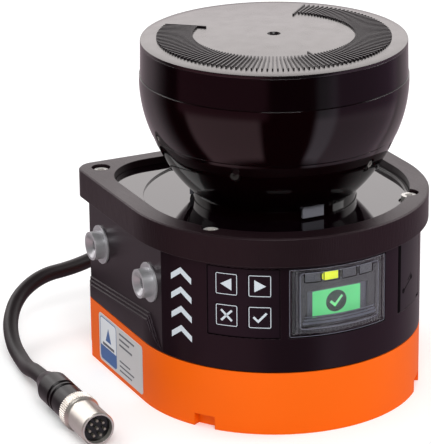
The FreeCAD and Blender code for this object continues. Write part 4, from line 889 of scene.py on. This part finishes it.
disc_turns = [2 * math.pi * step / DISC_CORNERS for step in range(DISC_CORNERS)]
disc = [(DISC_RADIUS * math.cos(turn), DISC_RADIUS * math.sin(turn)) for turn in disc_turns]
tick = stroke(scaled(((-1.9, -0.2), (-0.5, -1.5), (2.0, 1.4))), 1.0 * MM)
printed("screen_lit_area", [slab(0, 0, LIT_WIDE, LIT_TALL)], on_screen, screen_green, "housing")
printed("screen_disc", [disc], on_screen, screen_dark, "housing", lift=2 * INK)
printed("screen_tick", tick, on_screen, screen_light, "housing", lift=3 * INK)

# The window has a fine moulded bead round its clear part and a rim, both drawn as thin light lines that are
# painted highlights, with a dark gap round it all.
WINDOW_FACE = BODY_RADIUS - 0.1 * MM
WINDOW_ANGLE = -0.6
WINDOW_LEVEL = middle_of("display_window")[2]
WINDOW_WIDE = 39.4 * MM
WINDOW_TALL = 26.2 * MM
BEAD_WIDE = 31.5 * MM
BEAD_TALL = 21.2 * MM
BEAD_LINE = 0.28 * MM
RIM_IN = 0.5 * MM
RIM_LINE = 0.16 * MM
bead_highlight = moulded("bead_highlight", (0.16, 0.16, 0.20), 0.2, grain=900.0, depth=0.000004, mottle=0.3,
                     edge=0.0001, rub_and_sheen=0.4)
bead = frame_line(0.2 * MM, 0.6 * MM, BEAD_WIDE, BEAD_TALL, 1.6 * MM, BEAD_LINE)
printed("window_bead_highlight", bead, on_wall(WINDOW_ANGLE, WINDOW_LEVEL, WINDOW_FACE), bead_highlight, "housing",
        lift=0.05 * MM)
printed("window_gap", frame_line(0, 0, WINDOW_WIDE, WINDOW_TALL, 0.8 * MM, 0.42 * MM),
        on_wall(WINDOW_ANGLE, WINDOW_LEVEL, WINDOW_FACE + 0.06 * MM), gap_dark, "housing")
printed("window_rim_highlight",
        frame_line(0, 0, WINDOW_WIDE - 2 * RIM_IN, WINDOW_TALL - 2 * RIM_IN, 0.7 * MM, RIM_LINE),
        on_wall(WINDOW_ANGLE, WINDOW_LEVEL, WINDOW_FACE), bead_highlight, "housing")

# Dark outlines frame the four light guides, and the frame's sill below the screen has three steps, drawn as
# light strips that are a painted highlight.
GUIDE_COUNT = 4
GUIDE_WIDE = 5.4 * MM
OUTLINE_WIDE = 6.1 * MM
OUTLINE_TALL = 4.1 * MM
OUTLINE_LINE = 0.3 * MM
GUIDE_INSET = 1.6 * MM
guides_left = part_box("status_light_guides")[0][0]
guides_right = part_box("status_light_guides")[1][0]
guide_level = middle_of("status_light_guides")[2]
guide_step = (guides_right - guides_left - GUIDE_WIDE) / (GUIDE_COUNT - 1)
outlines = []
for guide in range(GUIDE_COUNT):
    across = guides_left + GUIDE_WIDE / 2 + guide * guide_step
    outlines += frame_line(across, guide_level, OUTLINE_WIDE, OUTLINE_TALL, 0.4 * MM, OUTLINE_LINE)


def on_guides(u, v, out):
    """Flat outlines just in front of the light guides' faces."""
    return Vector((u, -math.sqrt((BODY_RADIUS - GUIDE_INSET) ** 2 - u ** 2) - out, v))


printed("guide_outlines", outlines, on_guides, gap_dark, "housing")
sill_highlight = moulded("sill_highlight", (0.20, 0.21, 0.27), 0.3, grain=900.0, depth=0.000006, mottle=0.3,
                     edge=0.0001, rub_and_sheen=0.3)
SILL_LEVEL = WINDOW_LEVEL - 8.1 * MM
SILL_STEP = 1.15 * MM
# Each step is a flat light strip: painted highlight on the sill.
for row, wide in enumerate((28.6, 27.8, 27.0)):
    sill = slab(0, SILL_LEVEL + row * SILL_STEP, wide * MM, (0.95 - 0.22 * row) * MM)
    printed("bezel_sill_highlight_%d" % row, [sill], on_guides, sill_highlight, "housing")


# ------------------------------------------------------------------ service flap
# A moulded flap covers the service socket. It swings on a steel pin at its left edge, where a dark strip is
# painted as the shade in the gap beside it, and a small raised sign marks it.

flap_black = moulded("flap_black", (0.012, 0.007, 0.011), 0.36, grain=1600.0, depth=0.000014, rub_and_sheen=0.3,
                     Specular_IOR_Level=0.36)
paint(flap_black, "service_flap")
sign_dark = moulded("sign_dark", (0.0008, 0.0004, 0.0006), 0.5, edge=0.00002, rub_and_sheen=0.0,
                    Specular_IOR_Level=0.1)
FLAP_FACE = BODY_RADIUS - 0.05 * MM
FLAP_LEVEL = middle_of("service_flap")[2]
FLAP_EDGE_ANGLE = 28.5
GAP_SHADE_FACE = BODY_RADIUS + 0.05 * MM
GAP_SHADE_WIDE = 1.45 * MM
GAP_SHADE_TALL = 25.4 * MM
# A dark strip printed along the flap's left edge: painted shade standing for its gap.
printed("flap_gap_shade", [slab(1.12 * MM, 0, GAP_SHADE_WIDE, GAP_SHADE_TALL)],
        on_wall(FLAP_EDGE_ANGLE, FLAP_LEVEL, GAP_SHADE_FACE), gap_dark, "service_flap")
FLAP_SIGN_ANGLE = 36.6
FLAP_SIGN_LEVEL = 45.7 * MM
FLAP_LINE = 0.5 * MM
plug_sign = stroke(scaled(((-3.4, -1.7), (3.4, 1.7))), FLAP_LINE)
plug_sign.append(rounded_slab(-3.3 * MM, -1.6 * MM, 1.9 * MM, 1.9 * MM, 0.9 * MM))
plug_sign += stroke(scaled(((0.4, 1.5), (2.8, 3.1))), FLAP_LINE)
plug_sign.append(slab(3.3 * MM, 1.6 * MM, 1.7 * MM, 1.7 * MM))
printed("flap_sign", plug_sign, on_wall(FLAP_SIGN_ANGLE, FLAP_SIGN_LEVEL, FLAP_FACE), sign_dark,
        "service_flap")
paint(nickel, "service_socket")


# ------------------------------------------------------------------ works inside
# A cast deck screwed into the housing carries the scan motor with its tilted mirror, and a column
# that holds the laser and the receiver above it. The circuit boards are green glass fibre.

cast_metal = machined("cast_metal", (0.42, 0.42, 0.43), 0.5, marks=900.0, depth=0.00003, tarnish=0.1)
paint(cast_metal, "optics_deck", "optics_column", "mirror_carrier")
ground_steel = machined("ground_steel", (0.35, 0.35, 0.36), 0.3, marks=3000.0)
paint(ground_steel, "motor_stator", "motor_bearings", "motor_shaft", "encoder_disc", "laser_module")
mirror_face = machined("mirror_face", (0.92, 0.92, 0.94), 0.02, depth=0.0, tarnish=0.01)
paint(mirror_face, "scan_mirror")
lens_glass, lens_shader = new_material("lens_glass", 0.01, Transmission_Weight=1.0, IOR=1.52)
use_group(lens_glass, lens_shader, skin, {
    "Colour": (0.9, 0.93, 0.97, 1), "Mottle": 0.02, "Roughness": 0.01, "Uneven": 0.01,
    "Grain Scale": 200.0, "Grain Depth": 0.0000003, "Edge Radius": 0.0002, "Edge Rub And Sheen": 0.0,
}, SKIN_LINKS)
paint(lens_glass, "receiver_lens")

board_green, board_shader = new_material("board_green", 0.35)
board_tree = board_green.node_tree
board_place = add(board_tree, "TexCoord").outputs["Object"]
tracks = add(board_tree, "TexBrick", {
    "Vector": board_place, "Color1": (0.015, 0.10, 0.035, 1), "Color2": (0.02, 0.13, 0.05, 1),
    "Mortar": (0.05, 0.22, 0.08, 1), "Scale": 220.0, "Mortar Size": 0.03,
}).outputs["Color"]
board_tree.links.new(tracks, board_shader.inputs["Base Color"])
board_grain = add(board_tree, "TexNoise", {"Vector": board_place, "Scale": 600.0}).outputs["Fac"]
board_bump = add(board_tree, "Bump", {"Height": board_grain, "Distance": 0.00002}).outputs["Normal"]
board_tree.links.new(board_bump, board_shader.inputs["Normal"])
paint(board_green, "main_board", "keypad_board", "display_board", "service_board", "receiver_board")
